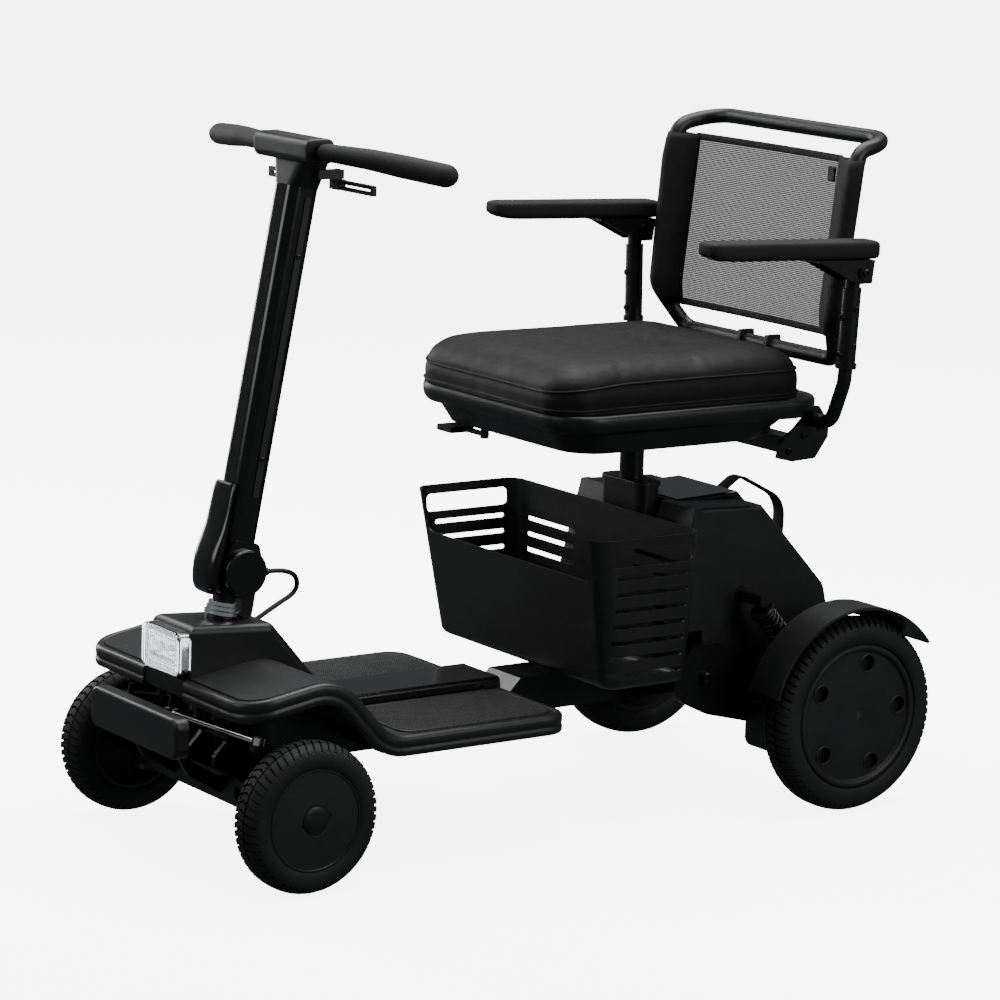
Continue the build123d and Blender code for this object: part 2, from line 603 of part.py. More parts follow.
# ---- rear drive --------------------------------------------------------------------------------
def rear_wheel():
    """Left rear tyre and its disc with five round openings and the output shaft."""
    x = REAR_WHEEL_X
    with BuildPart() as tyre:
        spin_x(tyre_outline(REAR_DISC_R, REAR_WHEEL_R, REAR_TYRE_W, x), REAR_AXLE_Y, REAR_WHEEL_R)
    save_pair(tyre, "rear_tyre")
    with BuildPart() as disc:
        spin_x([(x - 20, 96), (x - 20, REAR_DISC_R), (x + 22, REAR_DISC_R), (x + 24, REAR_DISC_R - 2),
                (x + 24, REAR_DISC_R - 9), (x + 20.5, REAR_DISC_R - 12), (x + 21.5, 60), (x + 22, 0),
                (x + 16, 0), (x + 16, 96)], REAR_AXLE_Y, REAR_WHEEL_R)
        rod_x(x - 20, x + 17, REAR_AXLE_Y, REAR_WHEEL_R, 24)
        rod_x(200, x + 17, REAR_AXLE_Y, REAR_WHEEL_R, 10)
        with Locations(side_plane(x + 19, REAR_AXLE_Y, REAR_WHEEL_R)):
            with PolarLocations(76, 5, start_angle=78):
                Cylinder(12, 20, mode=Mode.SUBTRACT)
    save_pair(disc, "rear_wheel_disc")


def swing_arm():
    """Left trailing arm, from its frame pivot to the drive unit, with the spring's lower seat."""
    with BuildPart() as arm:
        outline = [(SWING_Y - 46, 208), (SWING_Y - 40, 158), (SWING_Y + 10, 134), (400, 100), (470, 96),
                   (474, 150), (440, 178), (330, 214), (280, 236), (SWING_Y - 20, 236)]
        slab_x(outline, 139, 151, radius=12)
        rod_x(137, 151, SWING_Y, SWING_Z, 24)
        rod_x(130, 160, SWING_Y, SWING_Z, 9 + RUNNING, mode=Mode.SUBTRACT)
        slab_x([(372, 190), (366, 222), (392, 232), (402, 190)], 150.8, 202)
        slab_x([(372, 165), (372, 192), (402, 192), (402, 165)], 150.8, 168)
    save_pair(arm, "swing_arm")


def drive_motor():
    """Left gear motor: gear case round the axle and the motor barrel ahead of it."""
    with BuildPart() as motor:
        rod_x(151.2, 212, REAR_AXLE_Y, REAR_WHEEL_R, 44)
        with BuildSketch(Plane(origin=(184, REAR_AXLE_Y - 20, 118), x_dir=(1, 0, 0), z_dir=(0, -1, 0))):
            RectangleRounded(58, 64, 12)
        extrude(amount=88)
        rod_x(196, 213, REAR_AXLE_Y, REAR_WHEEL_R, 10 + RUNNING, mode=Mode.SUBTRACT)
    save_pair(motor, "drive_motor")


SPRING_TOP = (329, 286)
SPRING_FOOT = (381, 228)


def suspension_spring():
    """Left coil spring between the frame stub and the arm's seat."""
    drop = Vector(0, SPRING_FOOT[0] - SPRING_TOP[0], SPRING_FOOT[1] - SPRING_TOP[1])
    start = Plane(origin=(180, SPRING_TOP[0], SPRING_TOP[1]), x_dir=(1, 0, 0), z_dir=drop)
    turns = 7
    with BuildPart() as spring:
        with BuildLine() as coil:
            Helix(pitch=(drop.length - 13) / turns, height=drop.length - 13, radius=14,
                  center=start.offset(4).origin, direction=drop)
        with BuildSketch(Plane(origin=coil.line @ 0, z_dir=coil.line % 0)) as wire:
            Circle(2.5)
        sweep(wire.sketch, coil.line, is_frenet=True)
        rod_on(start, 1, 6, 18)
        rod_on(start, drop.length - 11, drop.length - 6, 18)
    save_pair(spring, "suspension_spring")


def fender():
    """Left mudguard, concentric with the rear tyre, with its stay to the drive unit."""
    with BuildPart() as guard:
        centre = side_plane(212, REAR_AXLE_Y, REAR_WHEEL_R)
        with BuildSketch(centre) as ring:
            Circle(REAR_WHEEL_R + 18)
            Circle(REAR_WHEEL_R + 14, mode=Mode.SUBTRACT)
            Polygon((0, 0), (-400, 110), (-400, 400), (300, 400), (260, 200), align=None,
                    mode=Mode.INTERSECT)
        extrude(ring.sketch, amount=64)
        with BuildSketch(centre) as lip:
            Circle(REAR_WHEEL_R + 18)
            Circle(REAR_WHEEL_R - 2, mode=Mode.SUBTRACT)
            Polygon((0, 0), (-400, 110), (-400, 400), (300, 400), (260, 200), align=None,
                    mode=Mode.INTERSECT)
        extrude(lip.sketch, amount=4)
        slab_x([(404, 160), (404, 289), (440, 292), (440, 160)], 206, 212.5)
        rod_x(200, 214, REAR_AXLE_Y, REAR_WHEEL_R, 44.05, mode=Mode.SUBTRACT)
    save_pair(guard, "fender")


# ---- seat --------------------------------------------------------------------------------------
def seat_post():
    """Sliding post with its swivel flange and top spigot."""
    foot = Plane(origin=(0, SEAT_POST_Y, 0))
    with BuildPart() as post:
        rod_on(foot, 268, 508, SEAT_POST_R)
        rod_on(foot, 502, 508, 44)
        rod_on(foot, 508, 524, 12)
    save(post, "seat_post")


def seat_tray():
    """Dished seat base with a rolled rim and the swivel bearing boss under it."""
    with BuildPart() as tray:
        for grow, low in ((0.0, 526.0), (-4.0, 531.0)):
            mode = Mode.SUBTRACT if grow else Mode.ADD
            with BuildSketch(Plane.XY.offset(low)) as base:
                with Locations((0, 175)):
                    RectangleRounded(340 + 2 * grow, 330 + 2 * grow, 50)
            with BuildSketch(Plane.XY.offset(TRAY_RIM_Z + (0.1 if grow else 0))) as rim:
                with Locations((0, 198)):
                    RectangleRounded(386 + 2 * grow, 440 + 2 * grow, 60)
            loft([base.sketch, rim.sketch], mode=mode)
        with BuildSketch(Plane.XY.offset(TRAY_RIM_Z - 8)) as flange:
            with Locations((0, 200)):
                RectangleRounded(394, 452, 62)
                RectangleRounded(374, 432, 55, mode=Mode.SUBTRACT)
        extrude(flange.sketch, amount=8)
        swivel = Plane(origin=(0, SEAT_POST_Y, 0))
        rod_on(swivel, 508.5, 532, 50)
        rod_on(swivel, 500, 526, 12 + RUNNING, mode=Mode.SUBTRACT)
    save(tray, "seat_tray")


def seat_cushion():
    """Padded seat in the tray."""
    with BuildPart() as cushion:
        with BuildSketch(Plane.XY.offset(560)):
            with Locations((0, 186)):
                RectangleRounded(336, 368, 45)
        extrude(amount=24)
        with BuildSketch(Plane.XY.offset(TRAY_RIM_Z + 1)):
            with Locations((0, 185)):
                RectangleRounded(388, 444, 58)
        extrude(amount=CUSHION_TOP - TRAY_RIM_Z - 1)
        fillet(cushion.faces().sort_by(Axis.Z)[-1].edges(), 18)
    save(cushion, "seat_cushion")


def seat_lever():
    """Swivel release lever under the right front of the seat."""
    with BuildPart() as lever:
        block((-132, -60), (14, 24), (515, 520))
        block((-150, -112), (-6, 34), (513, 521))
        fillet(lever.edges().filter_by(Axis.Z), 3)
        rod_on(Plane(origin=(-66, 19, 0)), 512, 525.6, 6)
    save(lever, "seat_lever")


ARM_POST_ROUTE = [(180, 401, 551), (222, 404, 552), (243, 407, 612), (ARM_X, 408, 748)]


def arm_frame():
    """Posts of both armrests, their lower bends and the cross member behind the seat."""
    with BuildPart() as frame:
        for side in (-1, 1):
            route = [(side * x, y, z) for x, y, z in ARM_POST_ROUTE]
            with BuildLine() as path:
                FilletPolyline(*route, radius=[22, 60])
            with BuildSketch(Plane(origin=path.line @ 0, z_dir=path.line % 0)) as tube:
                Circle(10)
            sweep(tube.sketch, path.line)
            lower, upper = Vector(route[2]), Vector(route[3])
            lean = (upper - lower).normalized()
            sleeve = Plane(origin=lower, x_dir=(0, 1, 0), z_dir=lean)
            rod_on(sleeve, 20, (upper - lower).length - 3, 13)
            rod_on(sleeve, 20, 27, 15)
            rod_on(sleeve, 100, (upper - lower).length + 18, 10.5)
            eye = [side * (ARM_X - 12), side * (ARM_X + 12)]
            rod_x(eye[0], eye[1], ARM_PIVOT_Y, ARM_PIVOT_Z, 11.5)
            rod_x(side * 220, side * 280, ARM_PIVOT_Y, ARM_PIVOT_Z, 6 + RUNNING, mode=Mode.SUBTRACT)
            low_x, high_x = sorted((side * 172, side * 180))
            slab = [(348, 498), (352, 521), (376, 538), (398, 558), (408, 568), (418, 568), (436, 544),
                    (436, 524), (414, 494), (372, 492)]
            slab_x(slab, low_x, high_x)
        block((-174, 174), (372, 402), (500, 524))
        block((-40, 40), (398, 446), (504, 522))
        for low_x in (-34, 27):
            slab_x([(428, 504), (428, 600), (438, 646), (462, 646), (464, 620), (446, 504)], low_x, low_x + 7)
        rod_x(-50, 50, BACK_AXIS_Y, BACK_AXIS_Z, 11 + RUNNING, mode=Mode.SUBTRACT)
    save(frame, "arm_frame")


def armrest():
    """Left arm pad and the bracket under its rear end that pivots on the post."""
    with BuildPart() as pad:
        slope = Plane(origin=(ARM_X, 146, 808), x_dir=(0, 295, -9), z_dir=(1, 0, 0))
        with BuildSketch(slope.offset(-21.5)) as outline:
            with BuildLine():
                FilletPolyline((0, 12), (0, -8), (24, -15), (295, -15), (295, 12), (24, 12.5),
                               radius=7, close=True)
            make_face()
        extrude(outline.sketch, amount=43)
        fillet(pad.edges().filter_by(lambda edge: abs(abs(edge.center().X - ARM_X) - 21.5) < 0.1), 8)
    save_pair(pad, "arm_pad")
    with BuildPart() as bracket:
        arm = [(330, 787.3), (345, 779), (400, 752), (426, 752), (430, 784.3)]
        slab_x(arm, ARM_X - 20, ARM_X - 16, radius=2)
        slab_x(arm, ARM_X + 16, ARM_X + 20, radius=2)
        slab_x([(330, 783.8), (330, 787.3), (430, 784.3), (430, 780.8)], ARM_X - 20, ARM_X + 20)
        rod_x(ARM_X - 24, ARM_X + 24, ARM_PIVOT_Y, ARM_PIVOT_Z, 6)
        for low_x in (ARM_X - 25, ARM_X + 20):
            rod_x(low_x, low_x + 5, ARM_PIVOT_Y, ARM_PIVOT_Z, 9)
    save_pair(bracket, "arm_bracket")


BACK_ROUTE = [(0, BACK_AXIS_Y, BACK_AXIS_Z), (170, BACK_AXIS_Y, BACK_AXIS_Z), (200, 416, 690),
              (206, 436, 880), (203, 444, 925), (200, 510, 940), (0, 510, 940)]


def backrest():
    """Bent back tube with its push bar, and the mesh panel stretched across it."""
    with BuildPart() as frame:
        for side in (-1, 1):
            route = [(side * x, y, z) for x, y, z in BACK_ROUTE]
            with BuildLine() as path:
                FilletPolyline(*route, radius=[26, 40, 30, 30, 45])
            with BuildSketch(Plane(origin=path.line @ 0, z_dir=path.line % 0)) as tube:
                Circle(11)
            sweep(tube.sketch, path.line)
    save(frame, "backrest_frame")
    with BuildPart() as panel:
        levels = []
        for z, back in ((668, 3.5), (700, 0), (915, 24)):
            with BuildSketch(Plane(origin=(0, 408 + back, z))) as band:
                Polygon((-182, 3.5), (-163, 17), (163, 17), (182, 3.5), (182, 8.4), (164.4, 21),
                        (-164.4, 21), (-182, 8.4), align=None)
            levels.append(band.sketch)
        loft(levels, ruled=True)
    save(panel, "back_mesh")


# ---- basket ------------------------------------------------------------------------------------
def basket_shell(inset, floor):
    """Tapered tub with rounded corners and bottom edges, made smaller all round by inset."""
    with BuildPart() as shell:
        with BuildSketch(Plane.XY.offset(floor)) as low:
            with Locations((0, 115)):
                RectangleRounded(418 - 2 * inset, 140 - 2 * inset, 24 - inset)
        with BuildSketch(Plane.XY.offset(BASKET_TOP + (1 if inset else 0))) as high:
            with Locations((0, 98)):
                RectangleRounded(450 - 2 * inset, 180 - 2 * inset, 24 - inset)
        loft([low.sketch, high.sketch])
        fillet(shell.faces().sort_by(Axis.Z)[0].edges(), 16 - inset)
    return shell.part


def basket():
    """Front basket: slotted sides and back, plain lower front, open top."""
    with BuildPart() as tub:
        add(basket_shell(0, BASKET_FLOOR))
        add(basket_shell(BASKET_WALL, BASKET_FLOOR + BASKET_WALL), mode=Mode.SUBTRACT)
        with BuildSketch(Plane(origin=(0, 0, 0), x_dir=(1, 0, 0), z_dir=(0, -1, 0)).offset(-60)) as dip:
            with Locations((0, BASKET_FRONT_TOP + 60)):
                RectangleRounded(404, 120, 18)
        extrude(dip.sketch, amount=120, mode=Mode.SUBTRACT)
        slot_rows = [BASKET_FLOOR + 22 + 23 * row for row in range(7)]
        for z in slot_rows:
            with BuildSketch(side_plane(-260, 105, z)) as slot:
                SlotOverall(122, 7)
            extrude(slot.sketch, amount=520, mode=Mode.SUBTRACT)
            with BuildSketch(Plane(origin=(0, 150, z), x_dir=(1, 0, 0), z_dir=(0, -1, 0))) as back_slot:
                with Locations((-128, 0), (128, 0)):
                    SlotOverall(118, 7)
            extrude(back_slot.sketch, amount=-60, mode=Mode.SUBTRACT)
        with BuildSketch(side_plane(-260, 100, 391)) as handle:
            RectangleRounded(142, 26, 8)
        extrude(handle.sketch, amount=520, mode=Mode.SUBTRACT)
    save(tub, "basket")


def harness_cable():
    """Loom that loops from the foot of the hinge into the front cover."""
    with BuildPart() as cable:
        with BuildLine() as route:
            FilletPolyline(*CABLE_ROUTE, radius=[22, 14, 16])
        with BuildSketch(Plane(origin=route.line @ 0, z_dir=route.line % 0)) as wire:
            Circle(CABLE_R)
        sweep(wire.sketch, route.line)
    save(cable, "harness_cable")


for make in (main_frame, front_beam, head_tube, bumper_plate, front_cover, headlight, deck, floor_mats,
             spine_cover, seat_post_socket, rear_cover, battery, steering_parts, column, tiller_head,
             handlebar, hand_levers, knuckle, tie_rods, front_wheel, rear_wheel, swing_arm, drive_motor,
             suspension_spring, fender, seat_post, seat_tray, seat_cushion, seat_lever, arm_frame, armrest,
             backrest, basket, harness_cable):
    make()
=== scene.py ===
import math

import bmesh
import bpy
import numpy as np
from mathutils import Matrix, Vector
from mathutils.bvhtree import BVHTree
from mathutils.kdtree import KDTree


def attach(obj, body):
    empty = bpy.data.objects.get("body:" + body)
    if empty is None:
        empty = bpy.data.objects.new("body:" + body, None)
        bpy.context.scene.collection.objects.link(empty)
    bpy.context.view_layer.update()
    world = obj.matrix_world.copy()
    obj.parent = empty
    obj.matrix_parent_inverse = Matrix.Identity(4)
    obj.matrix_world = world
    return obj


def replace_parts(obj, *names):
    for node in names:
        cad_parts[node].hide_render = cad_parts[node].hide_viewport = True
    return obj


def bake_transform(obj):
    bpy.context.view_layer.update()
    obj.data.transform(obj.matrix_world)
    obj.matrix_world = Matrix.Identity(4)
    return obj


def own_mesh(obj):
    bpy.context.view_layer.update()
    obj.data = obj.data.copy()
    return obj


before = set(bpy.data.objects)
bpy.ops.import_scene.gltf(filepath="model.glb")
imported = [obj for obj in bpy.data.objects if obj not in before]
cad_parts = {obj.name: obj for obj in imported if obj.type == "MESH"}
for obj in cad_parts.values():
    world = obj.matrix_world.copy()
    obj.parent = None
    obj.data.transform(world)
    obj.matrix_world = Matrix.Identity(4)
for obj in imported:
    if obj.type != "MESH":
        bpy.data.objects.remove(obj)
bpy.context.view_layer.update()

# Mobility scooter in metres: +Z up, facing -Y, its left side +X.
SIDES = ((1, "left"), (-1, "right"))
UP = Vector((0, 0, 1))


def mm(x, y, z):
    """A point given in millimetres."""
    return Vector((x, y, z)) / 1000


def at_side(side, place):
    """A point given in millimetres for the left side, on the side asked for: 1 is left, -1 is right."""
    return mm(side * place[0], place[1], place[2])


# ---- sizes repeated from the CAD's driving dimensions, in millimetres -----------------------------
DECK_HALF_W, DECK_FRONT_Y, DECK_REAR_Y, DECK_TOP = 213, -532, -18, 183
DECK_LINE = [(0, -532, 250), (0, -388, 273.5), (0, -307, 183), (0, -18, 183)]
FRONT_CORNER_R, REAR_CORNER_R = 46, 34
COVER_HALF_W = 50
STEER_TILT = math.radians(10.4)
HINGE = mm(0, -433.6, 382)
GRIP_ROUTE = [(71, -344.2, 936.9), (150, -328, 935.5), (276, -292, 926)]
BACK_ROUTE = [(0, 450, 630), (170, 450, 630), (200, 416, 690), (206, 436, 880), (203, 444, 925),
              (200, 510, 940), (0, 510, 940)]
PANEL_LINE = [(0, 430.5, 668), (0, 427, 700), (0, 451, 915)]
PANEL_HALF_W, POCKET_R = 0.163, 0.0126
STRAP_ROUTE = [(0, 384, 416), (0, 420, 440), (0, 502, 398), (0, 500, 316), (0, 484, 313.5)]
CABLE_ROUTE = [(8, -376, 374), (8, -338, 374), (8, -328, 344), (8, -366, 326), (8, -397, 309)]
CABLE_R = 3.5
SPRING_TOP, SPRING_FOOT, SPRING_X = (329, 286), (381, 228), 180
FRONT_HUB, FRONT_TYRE_R, FRONT_DISC_R, FRONT_TYRE_W = (229, -450, 100.5), 100.5, 68, 54
REAR_HUB, REAR_TYRE_R, REAR_DISC_R, REAR_TYRE_W = (247.5, 438, 138.5), 138.5, 104, 56
SWING_PIVOT, ARM_PIVOT = (255, 190), (409.5, 768)


# ---- camera, floor and light ----------------------------------------------------------------------
def add_camera():
    """Long lens, three-quarter view from the front left, a little above the seat's height."""
    azimuth, elevation, roll = math.radians(54.6), math.radians(10.9), math.radians(1.886)
    target = Vector((0.0653, -0.0443, 0.4525))
    back = Vector((math.sin(azimuth) * math.cos(elevation), -math.cos(azimuth) * math.cos(elevation),
                   math.sin(elevation)))
    level = UP.cross(back).normalized()
    rise = back.cross(level)
    right = level * math.cos(roll) + rise * math.sin(roll)
    above = rise * math.cos(roll) - level * math.sin(roll)
    data = bpy.data.cameras.new("camera")
    data.lens = 139.3
    data.sensor_width = 36
    data.clip_end = 200
    camera = bpy.data.objects.new("camera", data)
    bpy.context.scene.collection.objects.link(camera)
    place = Matrix((right, above, back)).transposed().to_4x4()
    place.translation = target + back * 5.271
    camera.matrix_world = place
    bpy.context.scene.camera = camera


def add_light(name, place, aim, size, power):
    """Rectangular softbox that faces a point."""
    data = bpy.data.lights.new(name, "AREA")
    data.shape = "RECTANGLE"
    data.size, data.size_y = size
    data.energy = power
    light = bpy.data.objects.new(name, data)
    bpy.context.scene.collection.objects.link(light)
    light.location = place
    light.rotation_euler = (Vector(aim) - Vector(place)).to_track_quat("-Z", "Y").to_euler()


def add_studio():
    """White floor and soft light from above, both sides and the front."""
    world = bpy.data.worlds.new("studio")
    world.use_nodes = True
    world.node_tree.nodes["Background"].inputs["Color"].default_value = (0.9, 0.95, 1, 1)
    world.node_tree.nodes["Background"].inputs["Strength"].default_value = 0.14
    bpy.context.scene.world = world
    mesh = bpy.data.meshes.new("floor")
    reach = 70
    mesh.from_pydata([(-reach, -reach, 0), (reach, -reach, 0), (reach, reach, 0), (-reach, reach, 0)], [],
                     [(0, 1, 2, 3)])
    floor = bpy.data.objects.new("floor", mesh)
    bpy.context.scene.collection.objects.link(floor)
    paper = bpy.data.materials.new("paper")
    paper.use_nodes = True
    shader = paper.node_tree.nodes["Principled BSDF"]
    shader.inputs["Base Color"].default_value = (0.92, 0.92, 0.92, 1)
    shader.inputs["Roughness"].default_value = 0.95
    shader.inputs["Specular IOR Level"].default_value = 0.0
    shader.inputs["Emission Color"].default_value = (1, 1, 1, 1)
    shader.inputs["Emission Strength"].default_value = 6.0
    mesh.materials.append(paper)
    floor.visible_glossy = False
    floor.visible_diffuse = False
    add_light("overhead", (-0.3, 0.5, 3.4), (0, 0, 0.4), (3.2, 3.2), 260)
    add_light("left_bank", (3.6, 1.2, 2.0), (0, 0, 0.5), (1.6, 2.6), 75)
    add_light("front_bank", (-1.2, -4.2, 2.2), (0, 0, 0.5), (2.2, 2.4), 65)
    add_light("right_strip", (-3.4, -0.8, 1.6), (0, 0, 0.6), (0.8, 2.6), 80)


add_camera()
add_studio()


# ---- materials ------------------------------------------------------------------------------------
def node_set(name):
    """New node material with its tree, shader and a coordinate node in object space."""
    material = bpy.data.materials.new(name)
    material.use_nodes = True
    tree = material.node_tree
    return material, tree, tree.nodes["Principled BSDF"], tree.nodes.new("ShaderNodeTexCoord")


def noise(tree, coord, scale, detail=2.0, rough=0.5):
    """Noise whose scale is in cells per metre."""
    node = tree.nodes.new("ShaderNodeTexNoise")
    node.inputs["Scale"].default_value = scale
    node.inputs["Detail"].default_value = detail
    node.inputs["Roughness"].default_value = rough
    tree.links.new(coord.outputs["Object"], node.inputs["Vector"])
    return node.outputs["Fac"]


def mapped(tree, source, low, high, to_low, to_high):
    """Source between low and high, as a number between to_low and to_high."""
    node = tree.nodes.new("ShaderNodeMapRange")
    node.inputs["From Min"].default_value = low
    node.inputs["From Max"].default_value = high
    node.inputs["To Min"].default_value = to_low
    node.inputs["To Max"].default_value = to_high
    tree.links.new(source, node.inputs["Value"])
    return node.outputs["Result"]


def mixed(tree, factor, first, second):
    """Colour between two colours, each a socket or a tuple."""
    node = tree.nodes.new("ShaderNodeMix")
    node.data_type = "RGBA"
    tree.links.new(factor, node.inputs[0])
    for value, socket in ((first, node.inputs[6]), (second, node.inputs[7])):
        if isinstance(value, tuple):
            socket.default_value = (*value, 1)
        else:
            tree.links.new(value, socket)
    return node.outputs[2]


def bumped(tree, shader, height, depth, strength=1.0, under=None):
    """Bump of the given depth in metres; under is a bump that it lies on."""
    node = tree.nodes.new("ShaderNodeBump")
    node.inputs["Strength"].default_value = strength
    node.inputs["Distance"].default_value = depth
    tree.links.new(height, node.inputs["Height"])
    if under:
        tree.links.new(under, node.inputs["Normal"])
    tree.links.new(node.outputs["Normal"], shader.inputs["Normal"])
    return node.outputs["Normal"]


def shade(value, warmth=0.0):
    """Near-neutral grey, a touch blue below zero warmth."""
    return (value * (1 + warmth), value, value * (1 - warmth))


def moulded(name, value, rough, grain=1600.0, depth=0.00012, spread=0.07, metal=0.0, coat=0.0,
            scuff=0.2, specular=0.3, warmth=-0.03):
    """Plastic, paint or metal: fine grain, cloudy colour and roughness, and thin pale scuffs."""
    material, tree, shader, coord = node_set(name)
    cloud = noise(tree, coord, 11, 3)
    fine = noise(tree, coord, grain, 2)
    scratch = noise(tree, coord, 75, 9, 0.72)
    base = mixed(tree, mapped(tree, cloud, 0.35, 0.65, 0, 1), shade(value * 0.8, warmth),
                 shade(value * 1.25, warmth))
    speck = mixed(tree, mapped(tree, fine, 0.55, 0.75, 0, 0.6), base, shade(value * 2.2, warmth))
    worn = mixed(tree, mapped(tree, scratch, 0.62, 0.74, 0, scuff), speck, shade(value * 3 + 0.003, warmth))
    tree.links.new(worn, shader.inputs["Base Color"])
    tree.links.new(mapped(tree, scratch, 0.3, 0.7, rough - spread, rough + spread),
                   shader.inputs["Roughness"])
    shader.inputs["Metallic"].default_value = metal
    shader.inputs["Specular IOR Level"].default_value = specular
    shader.inputs["Coat Weight"].default_value = coat
    shader.inputs["Coat Roughness"].default_value = 0.12
    soft = bumped(tree, shader, cloud, 0.0006, 0.4)
    bumped(tree, shader, fine, depth, 0.8, soft)
    return material


def vinyl(name, value):
    """Grained upholstery vinyl with shallow creases."""
    material, tree, shader, coord = node_set(name)
    cells = tree.nodes.new("ShaderNodeTexVoronoi")
    cells.feature = "DISTANCE_TO_EDGE"
    cells.inputs["Scale"].default_value = 520
    tree.links.new(coord.outputs["Object"], cells.inputs["Vector"])
    cloud = noise(tree, coord, 16, 5, 0.6)
    crease = noise(tree, coord, 42, 6, 0.65)
    tree.links.new(mixed(tree, mapped(tree, cloud, 0.35, 0.7, 0, 1), shade(value * 0.75), shade(value * 1.3)),
                   shader.inputs["Base Color"])
    tree.links.new(mapped(tree, crease, 0.3, 0.7, 0.42, 0.6), shader.inputs["Roughness"])
    shader.inputs["Specular IOR Level"].default_value = 0.16
    fold = bumped(tree, shader, crease, 0.0012, 0.35)
    pores = mapped(tree, cells.outputs["Distance"], 0.0, 0.12, 0.0, 1.0)
    bumped(tree, shader, pores, 0.00016, 0.7, fold)
    return material


def foam(name, value, speck_value, scale):
    """Closed-cell foam: matt, pitted and speckled."""
    material, tree, shader, coord = node_set(name)
    pits = noise(tree, coord, scale, 4, 0.7)
    cloud = noise(tree, coord, 24, 3)
    tone = mixed(tree, mapped(tree, cloud, 0.3, 0.7, 0, 1), shade(value * 0.8), shade(value * 1.2))
    tree.links.new(mixed(tree, mapped(tree, pits, 0.52, 0.68, 0, 1), tone, shade(speck_value)),
                   shader.inputs["Base Color"])
    tree.links.new(mapped(tree, pits, 0.3, 0.7, 0.62, 0.85), shader.inputs["Roughness"])
    shader.inputs["Specular IOR Level"].default_value = 0.25
    bumped(tree, shader, pits, 0.0005, 0.7)
    return material


def woven(name, value, pitch, openness):
    """Plain weave on X and Z at a thread pitch in metres, with painted shade darkening the gaps between
    threads, and open holes when openness is above 0.
    """
    material, tree, shader, coord = node_set(name)
    split = tree.nodes.new("ShaderNodeSeparateXYZ")
    tree.links.new(coord.outputs["Object"], split.inputs[0])
    waves = []
    for axis in "XZ":
        node = tree.nodes.new("ShaderNodeMath")
        node.operation = "MULTIPLY"
        node.inputs[1].default_value = math.pi / pitch
        tree.links.new(split.outputs[axis], node.inputs[0])
        sine = tree.nodes.new("ShaderNodeMath")
        sine.operation = "SINE"
        tree.links.new(node.outputs[0], sine.inputs[0])
        size = tree.nodes.new("ShaderNodeMath")
        size.operation = "ABSOLUTE"
        tree.links.new(sine.outputs[0], size.inputs[0])
        waves.append(size.outputs[0])
    both = tree.nodes.new("ShaderNodeMath")
    both.operation = "MULTIPLY"
    tree.links.new(waves[0], both.inputs[0])
    tree.links.new(waves[1], both.inputs[1])
    cloud = noise(tree, coord, 30, 4)
    tone = mixed(tree, mapped(tree, cloud, 0.3, 0.7, 0, 1), shade(value * 0.8), shade(value * 1.25))
    # The gaps between threads are mixed towards 0.4 of the thread colour: painted shade in the weave's
    # hollows.
    tree.links.new(mixed(tree, mapped(tree, both.outputs[0], 0.1, 0.8, 0, 1), tone, shade(value * 0.4)),
                   shader.inputs["Base Color"])
    tree.links.new(mapped(tree, cloud, 0.3, 0.7, 0.55, 0.75), shader.inputs["Roughness"])
    shader.inputs["Specular IOR Level"].default_value = 0.2
    if openness:
        tree.links.new(mapped(tree, both.outputs[0], 0.55, 0.8, 1.0, 1.0 - openness),
                       shader.inputs["Alpha"])
    bumped(tree, shader, both.outputs[0], -0.0003, 0.8)
    return material


def lens_clear(name):
    """Clear polycarbonate with faint upright flutes."""
    material, tree, shader, coord = node_set(name)
    flutes = tree.nodes.new("ShaderNodeTexWave")
    flutes.inputs["Scale"].default_value = 60
    flutes.inputs["Distortion"].default_value = 0.4
    tree.links.new(coord.outputs["Object"], flutes.inputs["Vector"])
    haze = noise(tree, coord, 300, 3)
    tree.links.new(mapped(tree, haze, 0.4, 0.8, 0.02, 0.09), shader.inputs["Roughness"])
    tree.links.new(mixed(tree, haze, (0.93, 0.96, 1.0), (1.0, 1.0, 1.0)), shader.inputs["Base Color"])
    shader.inputs["Transmission Weight"].default_value = 1.0
    shader.inputs["IOR"].default_value = 1.45
    bumped(tree, shader, flutes.outputs["Fac"], 0.0004, 0.35)
    return material


GRAPHITE = moulded("graphite_satin", 0.0095, 0.40, grain=1900, coat=0.05)
SPECKLED = moulded("speckled_satin", 0.010, 0.42, grain=900, depth=0.0003)
GLOSS = moulded("gloss_black", 0.0025, 0.17, grain=500, depth=0.00003, spread=0.05, coat=0.2, scuff=0.08,
                specular=0.4)
BODY = moulded("body_plastic", 0.005, 0.38, grain=2100)
STEEL = moulded("coated_steel", 0.004, 0.33, grain=1300, depth=0.00015, coat=0.05)
RUBBER = moulded("tyre_rubber", 0.0095, 0.68, grain=800, depth=0.0003, spread=0.1, scuff=0.4, specular=0.22)
FLOOR_RUBBER = moulded("floor_rubber", 0.007, 0.55, grain=1100, depth=0.0002, specular=0.25)
DISC = moulded("disc_plastic", 0.0095, 0.46, grain=1500, depth=0.0002)
CHROME = moulded("chrome", 0.9, 0.14, grain=600, depth=0.00003, spread=0.06, metal=1.0, scuff=0.0,
                 warmth=0.0)
MIRROR = moulded("reflector", 0.34, 0.09, grain=350, depth=0.0001, spread=0.04, metal=1.0, scuff=0.0,
                 warmth=0.0)
MOTOR = moulded("motor_metal", 0.009, 0.42, grain=700, depth=0.0002, metal=0.4)
CABLE = moulded("cable_jacket", 0.004, 0.42, grain=900, depth=0.0001)
VINYL = vinyl("seat_vinyl", 0.0035)
PIPING = vinyl("seat_piping", 0.003)
ARM_FOAM = foam("arm_foam", 0.005, 0.009, 900)
GRIP_FOAM = foam("grip_foam", 0.007, 0.022, 480)
MESH = woven("back_mesh", 0.008, 0.0026, 0.15)
HEM = woven("hem_tape", 0.005, 0.0016, 0.0)
WEB = woven("strap_web", 0.005, 0.0018, 0.0)
CLEAR = lens_clear("lens_clear")
